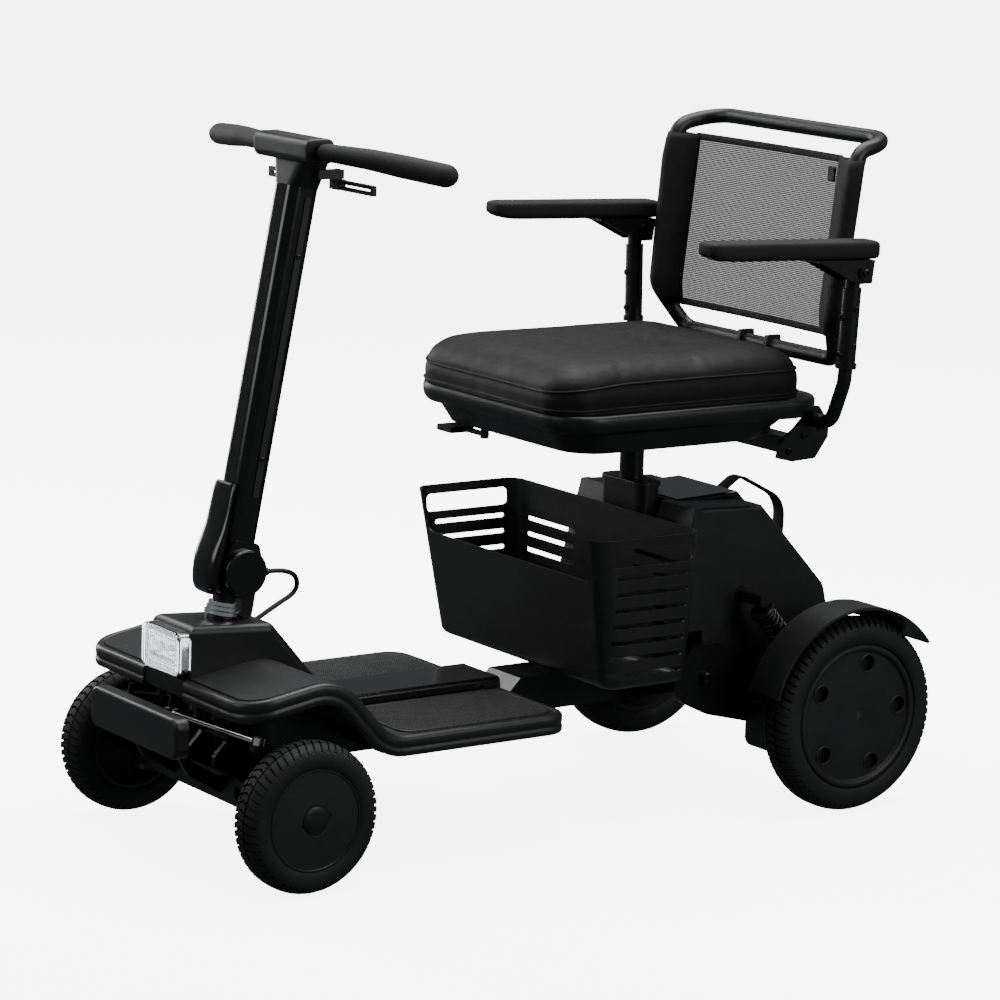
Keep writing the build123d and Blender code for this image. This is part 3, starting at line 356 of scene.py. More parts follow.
EMITTER = moulded("lamp_emitter", 0.75, 0.25, grain=900, scuff=0.0, warmth=0.02)


def dress(obj, material):
    """Give an object one material in every slot."""
    if not obj.material_slots:
        obj.data.materials.append(material)
    for holder in obj.material_slots:
        holder.material = material
    return obj


CAD_FINISH = [
    (GRAPHITE, "bumper_plate basket column_strips rear_cover fender_left fender_right"),
    (GLOSS, "column_tube battery_pack spine_cover hinge_covers"),
    (BODY, "tiller_head backrest_frame fold_latch seat_lever seat_post_socket front_cover seat_tray "
           "hand_lever_left hand_lever_right"),
    (STEEL, "main_frame front_beam head_tube steering_shaft hinge_foot handlebar knuckle_left "
            "knuckle_right swing_arm_left swing_arm_right seat_post arm_frame arm_bracket_left "
            "arm_bracket_right"),
    (CHROME, "lock_rings tie_rod_left tie_rod_right"),
    (MIRROR, "headlight_reflector"),
    (CLEAR, "headlight_lens"),
    (DISC, "front_wheel_disc_left front_wheel_disc_right rear_wheel_disc_left rear_wheel_disc_right"),
    (MOTOR, "drive_motor_left drive_motor_right"),
]
for material, names in CAD_FINISH:
    for node in names.split():
        dress(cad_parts[node], material)


# ---- mesh building --------------------------------------------------------------------------------
def make_mesh(name, verts, faces, material, crease=40):
    """Mesh object with outward normals, smooth but for edges sharper than crease degrees."""
    mesh = bpy.data.meshes.new(name)
    mesh.from_pydata([tuple(v) for v in verts], [], faces)
    work = bmesh.new()
    work.from_mesh(mesh)
    bmesh.ops.recalc_face_normals(work, faces=work.faces)
    work.to_mesh(mesh)
    work.free()
    mesh.shade_smooth()
    mesh.set_sharp_from_angle(angle=math.radians(crease))
    obj = bpy.data.objects.new(name, mesh)
    bpy.context.scene.collection.objects.link(obj)
    return dress(obj, material)


def loft(name, rings, material, loop=True, wrap=False, caps=True, crease=40):
    """Skin over rings of equally many points. loop closes each ring, wrap joins the last to the first."""
    count = len(rings[0])
    verts = [point for ring in rings for point in ring]
    faces = []
    for i in range(len(rings) if wrap else len(rings) - 1):
        a, b = i * count, (i + 1) % len(rings) * count
        for j in range(count if loop else count - 1):
            k = (j + 1) % count
            faces.append((a + j, a + k, b + k, b + j))
    if caps and loop and not wrap:
        faces.append(tuple(reversed(range(count))))
        faces.append(tuple(range(len(verts) - count, len(verts))))
    return make_mesh(name, verts, faces, material, crease)


def sweep(name, points, section, material, up=UP, wrap=False, crease=40):
    """Section, a list of (outward, upward) offsets or a function of 0..1 that gives one, along points."""
    last = len(points) - 1
    rings = []
    for i, point in enumerate(points):
        ahead = points[(i + 1) % len(points)] if wrap or i < last else point
        behind = points[i - 1] if wrap or i else point
        along = (ahead - behind).normalized()
        out = along.cross(up).normalized()
        rise = out.cross(along)
        offsets = section(i / last) if callable(section) else section
        rings.append([point + out * a + rise * b for a, b in offsets])
    return loft(name, rings, material, wrap=wrap, crease=crease)


def rounded(route, radii, turn=math.radians(5)):
    """Points in metres along a route given in millimetres, with each inner corner made an arc."""
    route = [mm(*point) for point in route]
    points = [route[0]]
    for before, corner, after, radius in zip(route, route[1:], route[2:], radii):
        to_before, to_after = (before - corner).normalized(), (after - corner).normalized()
        half = to_before.angle(to_after) / 2
        centre = corner + (to_before + to_after).normalized() * radius / 1000 / math.sin(half)
        start = corner + to_before * radius / 1000 / math.tan(half) - centre
        end = corner + to_after * radius / 1000 / math.tan(half) - centre
        swing = start.angle(end)
        steps = max(2, int(swing / turn))
        for k in range(steps + 1):
            share = k / steps
            points.append(centre + (start * math.sin((1 - share) * swing) + end * math.sin(share * swing))
                          / math.sin(swing))
    return points + [route[-1]]


def even(points, count):
    """The same line as count evenly spaced points."""
    line = np.array(points)
    length = np.concatenate([[0], np.cumsum(np.linalg.norm(np.diff(line, axis=0), axis=1))])
    at = np.linspace(0, length[-1], count)
    return [Vector(p) for p in np.stack([np.interp(at, length, line[:, i]) for i in range(3)], 1)]


def circle(radius, count=20, squash=1.0, power=2.0):
    """Closed (a, b) section: a circle, or a superellipse when power is above 2."""
    points = []
    for k in range(count):
        c, s = math.cos(2 * math.pi * k / count), math.sin(2 * math.pi * k / count)
        points.append((radius * math.copysign(abs(c) ** (2 / power), c),
                       radius * squash * math.copysign(abs(s) ** (2 / power), s)))
    return points


def spun(name, outline, centre, axis, material, steps=72, crease=35):
    """Ring or cap of revolution; outline is (along the axis, radius) in millimetres."""
    axis = axis.normalized()
    side = axis.orthogonal().normalized()
    other = axis.cross(side)
    rings = []
    for k in range(steps):
        angle = 2 * math.pi * k / steps
        spoke = side * math.cos(angle) + other * math.sin(angle)
        rings.append([centre + (axis * a + spoke * r) / 1000 for a, r in outline])
    return loft(name, rings, material, wrap=True, crease=crease)


def bolt(name, centre, axis, radius, body):
    """Cap screw with a rounded head and a round recess in it."""
    head = [(-1.0, 0.02), (-1.0, radius), (radius * 0.55, radius), (radius * 0.75, radius * 0.82),
            (radius * 0.75, radius * 0.5), (radius * 0.2, radius * 0.46), (radius * 0.2, 0.02)]
    screw = spun(name, head, centre, axis, STEEL, steps=24)
    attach(screw, body)


def soften(obj):
    """One level of subdivision, left on the piece."""
    modifier = obj.modifiers.new("smooth", "SUBSURF")
    modifier.levels = modifier.render_levels = 1
    return obj


# ---- tyres ----------------------------------------------------------------------------------------
TREAD_PITCH_STEPS = (0.0, 0.03, 0.27, 0.30, 0.53, 0.77)
TREAD_CUT_STEPS = (False, True, True, False, False, False)


def tyre_columns(half, inner, outer):
    """Columns across a tyre from bead to bead: (x, radius, share across the tread, groove depth)."""
    flank = [(half - 6.5, inner - 1), (half - 3, inner + 0.5), (half - 1.2, inner + 3),
             (half - 0.3, inner + 7), (half, inner + 12), (half - 0.2, outer - 17), (half - 1.6, outer - 12)]
    columns = [(-x, r, -1.0, 0.0) for x, r in flank]
    edge = half - 3.2
    for share, depth in ((1.0, 2.0), (0.88, 3.6), (0.72, 3.6), (0.56, 3.6), (0.43, 3.6), (0.415, 9.0),
                         (0.33, 9.0), (0.315, 3.6), (0.18, 3.6), (0.09, 3.6), (0.0, 3.6)):
        x = edge * share
        columns.append((-x, outer - 8.5 * share ** 3.2, -share, depth))
    mirrored = [(-x, r, -share, depth) for x, r, share, depth in reversed(columns[:-1])]
    return columns + mirrored


def make_tyre(node, body, hub, radius, inner, width, pitches):
    """Tyre with chevron blocks, two running grooves and smooth sidewalls."""
    columns = tyre_columns(width / 2, inner, radius)
    rings = []
    for pitch in range(pitches):
        for step, cut in zip(TREAD_PITCH_STEPS, TREAD_CUT_STEPS):
            ring = []
            for across, r, share, depth in columns:
                angle = 2 * math.pi * (pitch + step + 0.75 * abs(share)) / pitches
                if depth > 5:
                    r -= 3.2
                elif cut:
                    r -= depth
                ring.append(hub + mm(across, r * math.cos(angle), r * math.sin(angle)))
            rings.append(ring)
    tyre = loft(node + "_tread", rings, RUBBER, loop=True, wrap=True, crease=30)
    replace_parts(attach(tyre, body), node)


def make_wheel_trim(side, where):
    """Rounded rim lip and centre cap of each wheel, outside its disc, and behind the rear disc's holes a dark
    ring of painted shade.
    """
    axis = Vector((side, 0, 0))
    front = at_side(side, FRONT_HUB)
    lip = [(21, 64.4), (23.4, 64.8), (24.5, 65.8), (24.5, 67.2), (23.6, 68.2), (21, 68.4)]
    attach(spun("front_rim_" + where, lip, front, axis, DISC, 96), "front_wheel_" + where)
    cap = [(22, 0.02), (22, 19.6), (24.4, 19.2), (25.3, 17.6), (25.6, 10), (25.7, 0.02)]
    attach(spun("front_cap_" + where, cap, front, axis, BODY, 64), "front_wheel_" + where)
    rear = at_side(side, REAR_HUB)
    lip = [(22, 93.5), (24.4, 94.3), (25.8, 96.4), (26.1, 98.8), (25.2, 101.6), (22, 102.2)]
    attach(spun("rear_rim_" + where, lip, rear, axis, DISC, 120), "rear_wheel_" + where)
    # Dark ring just behind the rear disc: painted shade, so its holes show dark instead of the floor beyond.
    shade_disc = spun("rear_shade_disc_" + where, [(12, 56), (12, 94), (13.5, 94), (13.5, 56)], rear, axis, BODY, 96)
    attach(shade_disc, "rear_wheel_" + where)
    for k in range(5):
        angle = math.radians(78 + 72 * k)
        centre = rear + mm(0, 76 * math.cos(angle), 76 * math.sin(angle))
        eyelet = [(20.5, 11.2), (22.1, 11.5), (22.4, 12.6), (21.9, 13.8), (20.5, 14.1)]
        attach(spun(f"rear_eyelet_{where}_{k}", eyelet, centre, axis, DISC, 32),
                        "rear_wheel_" + where)


for side, where in SIDES:
    make_tyre("front_tyre_" + where, "front_wheel_" + where, at_side(side, FRONT_HUB), FRONT_TYRE_R,
              FRONT_DISC_R, FRONT_TYRE_W, 54)
    make_tyre("rear_tyre_" + where, "rear_wheel_" + where, at_side(side, REAR_HUB), REAR_TYRE_R,
              REAR_DISC_R, REAR_TYRE_W, 72)
    make_wheel_trim(side, where)


# ---- deck -----------------------------------------------------------------------------------------
deck_profile = rounded(DECK_LINE, [80, 50], math.radians(3))
RIM_INSET = 12.0


def deck_height(y):
    """Height of the deck's top, in metres, at a y in metres."""
    return float(np.interp(y, [p.y for p in deck_profile], [p.z for p in deck_profile]))


def deck_edge(inset):
    """Outline of the deck's left half at an inset: front edge, corner, side, rear corner, rear edge."""
    half = DECK_HALF_W - inset
    outline = rounded([(COVER_HALF_W + 0.6, DECK_FRONT_Y + inset, 0), (half, DECK_FRONT_Y + inset, 0),
                       (half, DECK_REAR_Y - inset, 0), (0, DECK_REAR_Y - inset, 0)],
                      [FRONT_CORNER_R - inset, REAR_CORNER_R - inset])
    return outline


def make_deck():
    """Wings, ramp and floor in one skin, with a thick rolled rim and a lip line all round."""
    side_points = even(deck_edge(RIM_INSET)[1:-1], 150)
    verts, faces = [], []
    for side in (1, -1):
        rows = []
        for point in side_points:
            inner = (COVER_HALF_W + 0.6) / 1000 if point.y < -0.300 else 0.0
            top = deck_height(point.y)
            rows.append([(side * inner, point.y, top), (side * point.x, point.y, top)])
        base = len(verts)
        for row in rows:
            for x, y, z in row:
                verts.append((x, y, z))
            for x, y, z in row:
                verts.append((x, y, z - 0.004))
        for i in range(len(rows) - 1):
            a, b = base + 4 * i, base + 4 * i + 4
            for p, q in ((0, 1), (1, 3), (3, 2), (2, 0)):
                faces.append((a + p, a + q, b + q, b + p))
        last = base + 4 * (len(rows) - 1)
        faces.append((base, base + 1, base + 3, base + 2))
        faces.append((last, last + 1, last + 3, last + 2))
    skin = make_mesh("deck_skin", verts, faces, SPECKLED, 50)
    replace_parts(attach(skin, "chassis"), "deck")
    half = [Vector((p.x, p.y, deck_height(p.y))) for p in even(deck_edge(0), 190)]
    path = half + [Vector((-p.x, p.y, p.z)) for p in reversed(half[:-1])]
    rim = [(-13.0, -0.2), (-12.0, -1.6), (-11.0, -0.3), (-8.5, 0.5), (-5.0, 0.6), (-2.2, -0.3), (-0.4, -2.4),
           (0.4, -5.6), (0.5, -9.5), (0.0, -13.0), (-1.2, -14.8), (-1.2, -15.8), (0.3, -17.0), (0.8, -19.6),
           (0.6, -23.2), (-0.8, -26.2), (-3.2, -27.4), (-6.0, -27.0), (-7.0, -24.0), (-7.6, -6.0),
           (-12.4, -5.0)]
    edge = sweep("deck_rim", path, [(a / 1000, b / 1000) for a, b in rim], GRAPHITE, crease=55)
    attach(edge, "chassis")


def make_floor_mats():
    """Two rubber mats with raised dots in staggered rows, and a low border."""
    for side, where in SIDES:
        centre = mm(side * 126, -158, DECK_TOP)
        outline = rounded([(0, -123, 0), (73, -123, 0), (73, 123, 0), (-73, 123, 0), (-73, -123, 0),
                           (0, -123, 0)], [22] * 4, math.radians(10))[:-1]
        rings = []
        for height, inset in ((0.0, 0.0), (1.6, 0.0), (2.4, 0.8), (2.4, 3.2), (1.5, 4.2)):
            scale_x, scale_y = 1 - inset / 73, 1 - inset / 123
            rings.append([centre + Vector((p.x * scale_x, p.y * scale_y, height / 1000)) for p in outline])
        mat = loft("floor_mat_" + where, rings, FLOOR_RUBBER, crease=50)
        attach(mat, "chassis")
        if side == 1:
            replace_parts(mat, "floor_mats")
        verts, faces = [], []
        pitch, dot = 5.4, 1.75
        for row in range(-24, 25):
            for column in range(-13, 14):
                x = (column + (row % 2) / 2) * pitch
                y = row * pitch * 0.9
                if abs(x) > 66 or abs(y) > 116 or math.hypot(max(abs(x) - 48, 0), max(abs(y) - 98, 0)) > 18:
                    continue
                base = len(verts)
                for radius, height in ((dot, 1.4), (dot * 0.8, 2.1), (dot * 0.4, 2.4)):
                    for k in range(6):
                        angle = math.pi / 3 * k
                        verts.append(centre + mm(x + radius * math.cos(angle), y + radius * math.sin(angle),
                                                 height))
                for level in (0, 6):
                    for k in range(6):
                        n = (k + 1) % 6
                        faces.append((base + level + k, base + level + n, base + level + 6 + n,
                                      base + level + 6 + k))
                faces.append(tuple(base + 12 + k for k in range(6)))
                faces.append(tuple(base + k for k in reversed(range(6))))
        dots = make_mesh("floor_mat_dots_" + where, verts, faces, FLOOR_RUBBER, 60)
        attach(dots, "chassis")


def make_under_deck_shade():
    """Rib of dark steel between the frame's spine and the underside of the floor and the ramp: painted shade
    that closes the see-through gap under the deck.
    """
    side_view = rounded([(0, -200, 149), (0, -336, 149), (0, -340, 194), (0, -318, 184), (0, -297, 177),
                         (0, -36, 177), (0, -40, 149), (0, -200, 149)], [4, 4, 6, 10, 3, 3])[:-1]
    rings = [[p + mm(x, 0, 0) for p in side_view] for x in (-30, 30)]
    # Dark filler piece: painted shade where the gap under the deck would otherwise show the floor through.
    shade_block = loft("under_deck_shade", rings, STEEL, crease=50)
    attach(shade_block, "chassis")


make_deck()
make_floor_mats()
make_under_deck_shade()


# ---- seat cushion ---------------------------------------------------------------------------------
CUSHION_W, CUSHION_L, CUSHION_R = 382, 438, 56
CUSHION_Y, CUSHION_LOW, CUSHION_HIGH = 185, 581, 636


def cushion_ring(inset, z, count=120):
    """One level of the cushion: a rounded rectangle that dips at its front edge."""
    w, l, r = CUSHION_W / 2 - inset, CUSHION_L / 2 - inset, max(CUSHION_R - inset, 8)
    outline = rounded([(0, -l, 0), (w, -l, 0), (w, l, 0), (-w, l, 0), (-w, -l, 0), (0, -l, 0)], [r] * 4)
    ring = []
    for p in even(outline, count + 1)[:-1]:
        forward = max(0.0, -p.y / 0.215 - 0.55) / 0.45
        dip = 7.0 * forward ** 2 * (z - CUSHION_LOW) / (CUSHION_HIGH - CUSHION_LOW)
        ring.append(p + mm(0, CUSHION_Y, z - dip))
    return ring


def voxel_remesh(obj, size):
    modifier = obj.modifiers.new("remesh", "REMESH")
    modifier.mode = "VOXEL"
    modifier.voxel_size = size
    modifier.use_smooth_shade = True
    graph = bpy.context.evaluated_depsgraph_get()
    mesh = bpy.data.meshes.new_from_object(obj.evaluated_get(graph))
    obj.modifiers.clear()
    obj.data = mesh


def inflate(obj, pressure, cap, floor_z):
    """Cloth simulation under inner pressure; no point moves by more than cap, and the base stays flat."""
    start = np.array([v.co for v in obj.data.vertices])
    modifier = obj.modifiers.new("cloth", "CLOTH")
    settings = modifier.settings
    settings.quality = 4
    settings.mass = 0.3
    settings.use_pressure = True
    settings.uniform_pressure_force = pressure
    settings.effector_weights.gravity = 0
    for step in range(1, 21):
        bpy.context.scene.frame_set(step)
    graph = bpy.context.evaluated_depsgraph_get()
    blown = np.array([v.co for v in obj.evaluated_get(graph).data.vertices])
    obj.modifiers.clear()
    bpy.context.scene.frame_set(1)
    shift = blown - start
    size = np.linalg.norm(shift, axis=1, keepdims=True)
    shift *= np.minimum(1, cap / np.maximum(size, 1e-9))
    shift *= np.clip((start[:, 2:3] - floor_z) / 0.008, 0, 1)
    for vertex, place in zip(obj.data.vertices, start + shift):
        vertex.co = place


def cut_seam(obj, line, depth, width):
    """Pull the surface in along a line of points."""
    tree = KDTree(len(line))
    for i, point in enumerate(line):
        tree.insert(point, i)
    tree.balance()
    normals = [v.normal.copy() for v in obj.data.vertices]
    for vertex, normal in zip(obj.data.vertices, normals):
        gap = tree.find(vertex.co)[2]
        vertex.co -= normal * depth * math.exp(-(gap / width) ** 2)


def surface_line(obj, aims, reach):
    """Where rays from each (start, direction) meet the surface."""
    mesh = obj.data
    tree = BVHTree.FromPolygons([v.co for v in mesh.vertices], [p.vertices for p in mesh.polygons])
    hits = []
    for start, direction in aims:
        place = tree.ray_cast(start, direction, reach)[0]
        if place is not None:
            hits.append(place)
    return hits


def make_cushion():
    """Boxed seat cushion: crowned top panel, bulging border, and piping on both seams."""
    levels = [(10, 581), (3, 582), (0, 588), (0, 602), (1, 614), (5, 625), (13, 634), (28, 641),
              (58, 645), (110, 645), (160, 642)]
    rings = [cushion_ring(inset, z) for inset, z in levels]
    cushion = loft("seat_pad", rings, VINYL)
    voxel_remesh(cushion, 0.006)
    inflate(cushion, 4.0, 0.006, CUSHION_LOW / 1000)
    middle = mm(0, CUSHION_Y, 0)
    seams = []
    for height in (622, 590):
        aims = []
        for p in cushion_ring(-40, height, 240):
            aims.append((p, Vector((middle.x - p.x, middle.y - p.y, 0)).normalized()))
        seams.append(surface_line(cushion, aims, 0.2))
    for line in seams:
        cut_seam(cushion, line, 0.0022, 0.0045)
    dress(cushion, VINYL)
    soften(cushion)
    for name, line in zip(("seat_piping_top", "seat_piping_low"), seams):
        pipe = sweep(name, even(line + line[:1], 241)[:-1], circle(0.0016, 8), PIPING, wrap=True)
        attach(pipe, "seat")
    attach(cushion, "seat")
    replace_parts(cushion, "seat_cushion")


def make_tray_lip():
    """Thick rounded lip that is rolled over the rim of the seat tray."""
    rim_z = 580
    outline = rounded([(0, -226, 0), (197, -226, 0), (197, 226, 0), (-197, 226, 0), (-197, -226, 0),
                       (0, -226, 0)], [62] * 4)
    path = [p + mm(0, 200, rim_z) for p in even(outline, 181)[:-1]]
    profile = [(-12, 1.6), (-8, 2.8), (-4, 3), (-1, 2), (0.8, -0.6), (1.5, -5), (1.3, -10), (0.3, -15),
               (-1.6, -19), (-4.2, -22.4), (-7.4, -24.6), (-10, -25), (-12.6, -23.4), (-14, -20), (-14, 0)]
    lip = sweep("seat_tray_lip", path, [(a / 1000, b / 1000) for a, b in profile], BODY, wrap=True,
                crease=50)
    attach(lip, "seat")


make_cushion()
make_tray_lip()


# ---- grips and arm pads ---------------------------------------------------------------------------
def make_grip(side, where):
    """Foam grip, flatter by the clamp, full at the hand and round at the end."""
    route = [(side * x, y, z) for x, y, z in GRIP_ROUTE]
    tip = mm(*route[2]) + (mm(*route[2]) - mm(*route[1])).normalized() * 0.014
    line = even(rounded(route, [120])[:-1] + [tip], 60)

    def section(share):
        wide = 0.0155 + 0.002 * min(1, share * 2.2)
        tall = 0.0115 + 0.0035 * min(1, share * 1.6)
        near_end = max(0.0, (share - 0.925) / 0.075)
        near_clamp = max(0.0, (0.02 - share) / 0.02)
        scale = math.sqrt(max(0.0, 1 - near_end ** 2)) * (1 - 0.12 * near_clamp) + 0.004
        return [(a * scale, b * scale * tall / wide) for a, b in circle(wide, 28)]

    grip = sweep("soft_grip_" + where, line, section, GRIP_FOAM)
    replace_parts(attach(grip, "column"), "grip_" + where)


def make_arm_pad(side, where):
    """Firm foam arm pad with a rising nose and rounded edges."""
    along = Vector((0, 295, -9)).normalized()
    rise = Vector((0, 9, 295)).normalized()
    start = mm(side * 249, 146, 808)
    stations = [(0, 0.30), (0.8, 0.56), (2.4, 0.76), (5, 0.88), (9, 0.96), (15, 1), (26, 1), (80, 1),
                (150, 1), (220, 1), (280, 1), (288, 0.975), (292, 0.92), (294.3, 0.8), (295, 0.6)]
    rings = []
    for s, scale in stations:
        low = -8 - 7 * min(1, s / 24)
        middle, half = (12 + low) / 2, (12 - low) / 2
        centre = start + along * s / 1000
        rings.append([centre + Vector((a * 21.5 * scale, 0, 0)) / 1000
                      + rise * (middle + b * half * scale) / 1000 for a, b in circle(1, 32, 1, 4.2)])
    pad = loft("arm_cushion_" + where, rings, ARM_FOAM, crease=70)
    soften(pad)
    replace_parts(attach(pad, "armrest_" + where), "arm_pad_" + where)


for side, where in SIDES:
    make_grip(side, where)
    make_arm_pad(side, where)


# ---- back panel -----------------------------------------------------------------------------------
panel_line = even(rounded(PANEL_LINE, [60]), 30)
tube_line = rounded(BACK_ROUTE, [26, 40, 30, 30, 45])


def tube_centre(z):
    """Middle of the left back tube at a height, in metres."""
    upright = [p for p in tube_line if 0.640 < p.z < 0.932]
    heights = [p.z for p in upright]
    return Vector((float(np.interp(z, heights, [p.x for p in upright])),
                   float(np.interp(z, heights, [p.y for p in upright])), z))


def make_back_panel():
    """Open weave stretched between the tubes, its pockets round them, hems and a small tab."""
    half = PANEL_HALF_W
    rows = []
    for point in panel_line:
        row = []
        for k in range(31):
            share = k / 15 - 1
            slack = 0.006 * (1 - share ** 2)
            row.append(Vector((half * share, point.y + slack, point.z)))
        rows.append(row)
    panel = loft("back_panel", rows, MESH, loop=False, crease=80)
    pieces = []
    for side, where in SIDES:
        rings = []
        for point in panel_line:
            centre = tube_centre(point.z)
            edge = Vector((PANEL_HALF_W, point.y, point.z))
            toward = math.atan2(edge.y - centre.y, edge.x - centre.x)
            spread = math.acos(POCKET_R / (edge - centre).length)
            start, end = toward + spread - 2 * math.pi, toward - spread
            outline = [(edge.x - 0.004, edge.y - 0.0006)]
            for k in range(19):
                angle = start + (end - start) * k / 18
                outline.append((centre.x + POCKET_R * math.cos(angle), centre.y + POCKET_R * math.sin(angle)))
            outline.append((edge.x - 0.004, edge.y + 0.0026))
            rings.append([Vector((side * x, y, point.z)) for x, y in outline])
        pocket = loft("back_pocket_" + where, rings, HEM, loop=False, crease=60)
        solid = pocket.modifiers.new("thick", "SOLIDIFY")
        solid.thickness = 0.0012
        solid.offset = 0
        pieces.append(pocket)
    for name, index in (("back_hem_low", 0), ("back_hem_top", -1)):
        row = [Vector((p.x * 1.01, p.y, p.z)) for p in rows[index]]
        shift = Vector((0, 0, 0.003 if index == 0 else -0.003))
        hem = sweep(name, [p + shift for p in row], circle(0.0015, 12, 3.6, 3), HEM, crease=70)
        pieces.append(hem)
    tab_ring = [(-0.006, -0.009), (0.006, -0.009), (0.0065, 0.008), (0.004, 0.010), (-0.004, 0.010),
                (-0.0065, 0.008)]
    tab_at = Vector((0.146, rows[-4][28].y - 0.0035, rows[-4][28].z))
    tab = loft("back_tab", [[tab_at + Vector((a * s, depth, b * s)) for a, b in tab_ring]
                            for depth, s in ((0.0, 1.0), (0.0012, 1.12), (0.0034, 1.12))], BODY)
    pieces.append(tab)
    for piece in pieces:
        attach(piece, "backrest")
    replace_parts(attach(panel, "backrest"), "back_mesh")


make_back_panel()


# ---- strap, cable and springs ---------------------------------------------------------------------
def make_strap():
    """Webbing loop over the battery's back, with a sewn patch at each end."""
    web = [(-12, -0.9), (-10.5, -1.4), (0, -1.5), (10.5, -1.4), (12, -0.9), (12, 0.9), (10.5, 1.4), (0, 1.5),
           (-10.5, 1.4), (-12, 0.9)]
    line = even(rounded(STRAP_ROUTE, [20, 40, 12]), 70)
    side_on = Vector((1, 0, 0))
    section = [(b / 1000, a / 1000) for a, b in web]
    strap = sweep("carry_strap", line, section, WEB, up=side_on, crease=60)
    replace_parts(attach(strap, "battery"), "battery_strap")
    for name, part in (("strap_patch_top", line[2:8]), ("strap_patch_low", line[-7:-2])):
        patch = [(b * 1.7 / 1000, a * 0.86 / 1000) for a, b in web]
        sewn = sweep(name, part, patch, HEM, up=side_on, crease=60)
        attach(sewn, "battery")


def spline_points(name, route):
    """Line of one smooth spline through the route's control points."""
    data = bpy.data.curves.new(name, "CURVE")
    data.dimensions = "3D"
    data.resolution_u = 24
    spline = data.splines.new("NURBS")
    spline.points.add(len(route) - 1)
    for point, place in zip(spline.points, route):
        point.co = (*mm(*place), 1)
    spline.order_u = 3
    spline.use_endpoint_u = True
    curve = bpy.data.objects.new(name, data)
    bpy.context.scene.collection.objects.link(curve)
    graph = bpy.context.evaluated_depsgraph_get()
    mesh = bpy.data.meshes.new_from_object(curve.evaluated_get(graph))
    points = [v.co.copy() for v in mesh.vertices]
    bpy.data.objects.remove(curve)
    return points


def make_cable():
    """Loom from the hinge's foot into the front cover."""
    line = spline_points("loom_route", CABLE_ROUTE)
    ring = circle(CABLE_R / 1000, 16)
    cable = sweep("harness_loom", line, ring, CABLE, up=Vector((1, 0, 0)))
    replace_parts(cable, "harness_cable")
    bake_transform(cable)


def make_spring(side, where):
    """Coil spring with closed end turns between two cups."""
    top, foot = mm(side * SPRING_X, *SPRING_TOP), mm(side * SPRING_X, *SPRING_FOOT)
    along = (foot - top).normalized()
    length = (foot - top).length
    out = Vector((1, 0, 0))
    other = along.cross(out)
    turns, radius = 8.0, 0.014
    line = []
    for k in range(241):
        share = k / 240
        wind = 2 * math.pi * turns * share
        ease = share - math.sin(2 * math.pi * share) / (2 * math.pi) * 0.45
        reach = 0.006 + (length - 0.018) * ease
        line.append(top + along * reach + (out * math.cos(wind) + other * math.sin(wind)) * radius)
    coil = sweep("spring_coil_" + where, line, circle(0.0026, 10), STEEL, up=along)
    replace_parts(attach(coil, "chassis"), "suspension_spring_" + where)
    cup = [(1, 0.02), (1, 17.5), (2.5, 18.5), (5, 18.5), (6, 17), (6, 11.5), (9, 11), (9, 0.02)]
    upper = spun("spring_cup_top_" + where, cup, top, along, STEEL, 40)
    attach(upper, "chassis")
    lower = spun("spring_cup_low_" + where, [(length * 1000 - a - 4, r) for a, r in cup], top, along, STEEL,
                 40)
    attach(lower, "swing_" + where)
    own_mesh(coil)


make_strap()
make_cable()
for side, where in SIDES:
    make_spring(side, where)


# ---- hinge boot -----------------------------------------------------------------------------------
def make_hinge_boot():
    """Glossy rounded boot of the folding latch, in front of the column's hinge."""
    stations = [(-36, 16, -31), (-34, 21, -36.5), (-28, 25, -41), (-10, 28, -44), (10, 29, -44),
                (26, 28.5, -42), (40, 27.5, -38), (54, 26.5, -34.8), (70, 26, -33.4), (95, 25.5, -32.6),
                (109, 25, -31.8), (113, 23.5, -30.6), (114.5, 20, -28.6)]
    inner_y = -25.4
    rings = []
    for height, half, front_y in stations:
        ring = []
        for a, b in circle(1, 36, 1, 3.0):
            local_y = (inner_y + front_y) / 2 + b * (inner_y - front_y) / 2
            ring.append(HINGE + mm(a * half, local_y * math.cos(STEER_TILT) + height * math.sin(STEER_TILT),
                                   height * math.cos(STEER_TILT) - local_y * math.sin(STEER_TILT)))
        rings.append(ring)
    boot = soften(loft("hinge_boot", rings, GLOSS, crease=80))
    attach(boot, "latch")


make_hinge_boot()


# ---- headlight ------------------------------------------------------------------------------------
def frame_ring(half_w, half_h, radius, y):
    """Rounded rectangle square to Y about the lamp's middle."""
    outline = rounded([(0, 0, -half_h), (half_w, 0, -half_h), (half_w, 0, half_h), (-half_w, 0, half_h),
                       (-half_w, 0, -half_h), (0, 0, -half_h)], [radius] * 4, math.radians(12))[:-1]
    return [p + mm(0, y, 283) for p in outline]


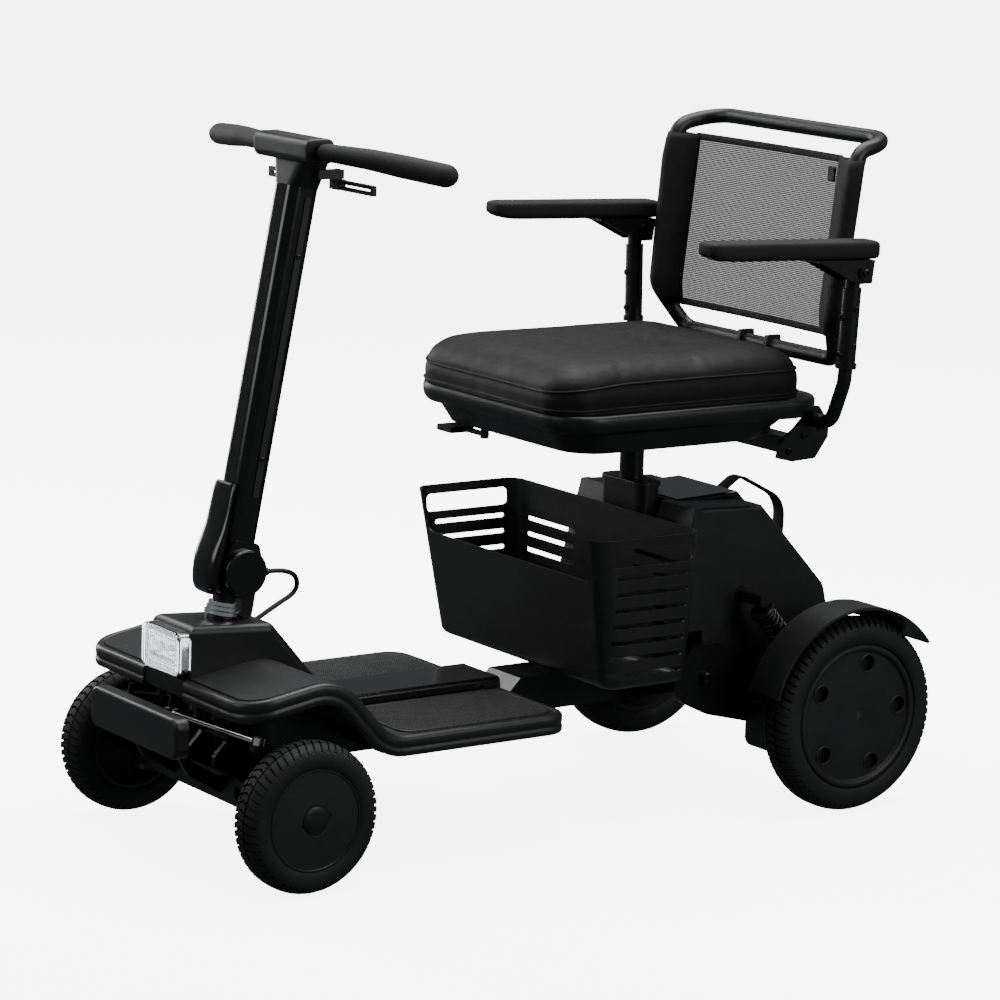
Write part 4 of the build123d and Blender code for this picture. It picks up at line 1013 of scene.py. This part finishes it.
def make_lamp():
    """Stepped bright bezel behind the lens, and a bowl with two emitters."""
    steps = [(48, 28, 11, -521.5), (48, 28, 11, -533), (46, 26, 10, -534.2), (45, 25, 10, -531),
             (43, 23.4, 9, -531), (43, 23.4, 9, -533.4), (41, 21.6, 8.5, -534),
             (39.6, 20.4, 8, -529.6), (36, 17, 7, -528.6),
             (35, 16, 6.5, -531), (33, 14.5, 6, -531), (30, 12, 5, -526), (29, 11, 5, -524.4)]
    bezel = loft("lamp_bezel", [frame_ring(*step) for step in steps], MIRROR, crease=30)
    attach(bezel, "chassis")
    for side, where in SIDES:
        dome = [(0, 0.02), (0, 7.4), (2.4, 7.2), (4.6, 5.6), (6.0, 3.0), (6.5, 0.02)]
        bead = spun("lamp_emitter_" + where, dome, mm(side * 14, -525.5, 283), Vector((0, -1, 0)), EMITTER,
                    40)
        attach(bead, "chassis")


make_lamp()


# ---- fasteners and small fittings -----------------------------------------------------------------
def make_fasteners():
    """Cap screws on the posts, plates, stays and column."""
    for side, where in SIDES:
        outward = Vector((side, 0, 0))
        forward = Vector((0, -1, 0))
        for k, z in enumerate((652, 704)):
            bolt(f"post_screw_{where}_{k}", mm(side * (243 + 6 * (z - 612) / 136), 394.6, z), forward, 4.6,
                 "seat")
        for k, z in enumerate((664, 716)):
            bolt(f"post_side_screw_{where}_{k}", mm(side * (256 + 6 * (z - 612) / 136), 407.5, z), outward,
                 4.2, "seat")
        for k, (y, z) in enumerate(((366, 508), (392, 528), (420, 538))):
            bolt(f"plate_screw_{where}_{k}", mm(side * 180.4, y, z), outward, 5, "seat")
        for k, (y, z) in enumerate(((420, 206), (424, 262))):
            bolt(f"stay_screw_{where}_{k}", mm(side * 212.6, y, z), outward, 5, "swing_" + where)
        bolt(f"spring_screw_{where}", mm(side * 202.4, 387, 206), outward, 8, "swing_" + where)
        bolt(f"swing_screw_{where}", mm(side * 156.4, *SWING_PIVOT), outward, 8, "chassis")
        bolt(f"pivot_screw_{where}", mm(side * 274.2, *ARM_PIVOT), outward, 5.5, "armrest_" + where)
        for k, along in enumerate((150, 420)):
            place = HINGE + mm(side * 26.6, 0, along * math.cos(STEER_TILT))
            place += mm(0, along * math.sin(STEER_TILT) + 4.5, 0)
            bolt(f"column_screw_{where}_{k}", place, outward, 3.2, "column")


make_fasteners()
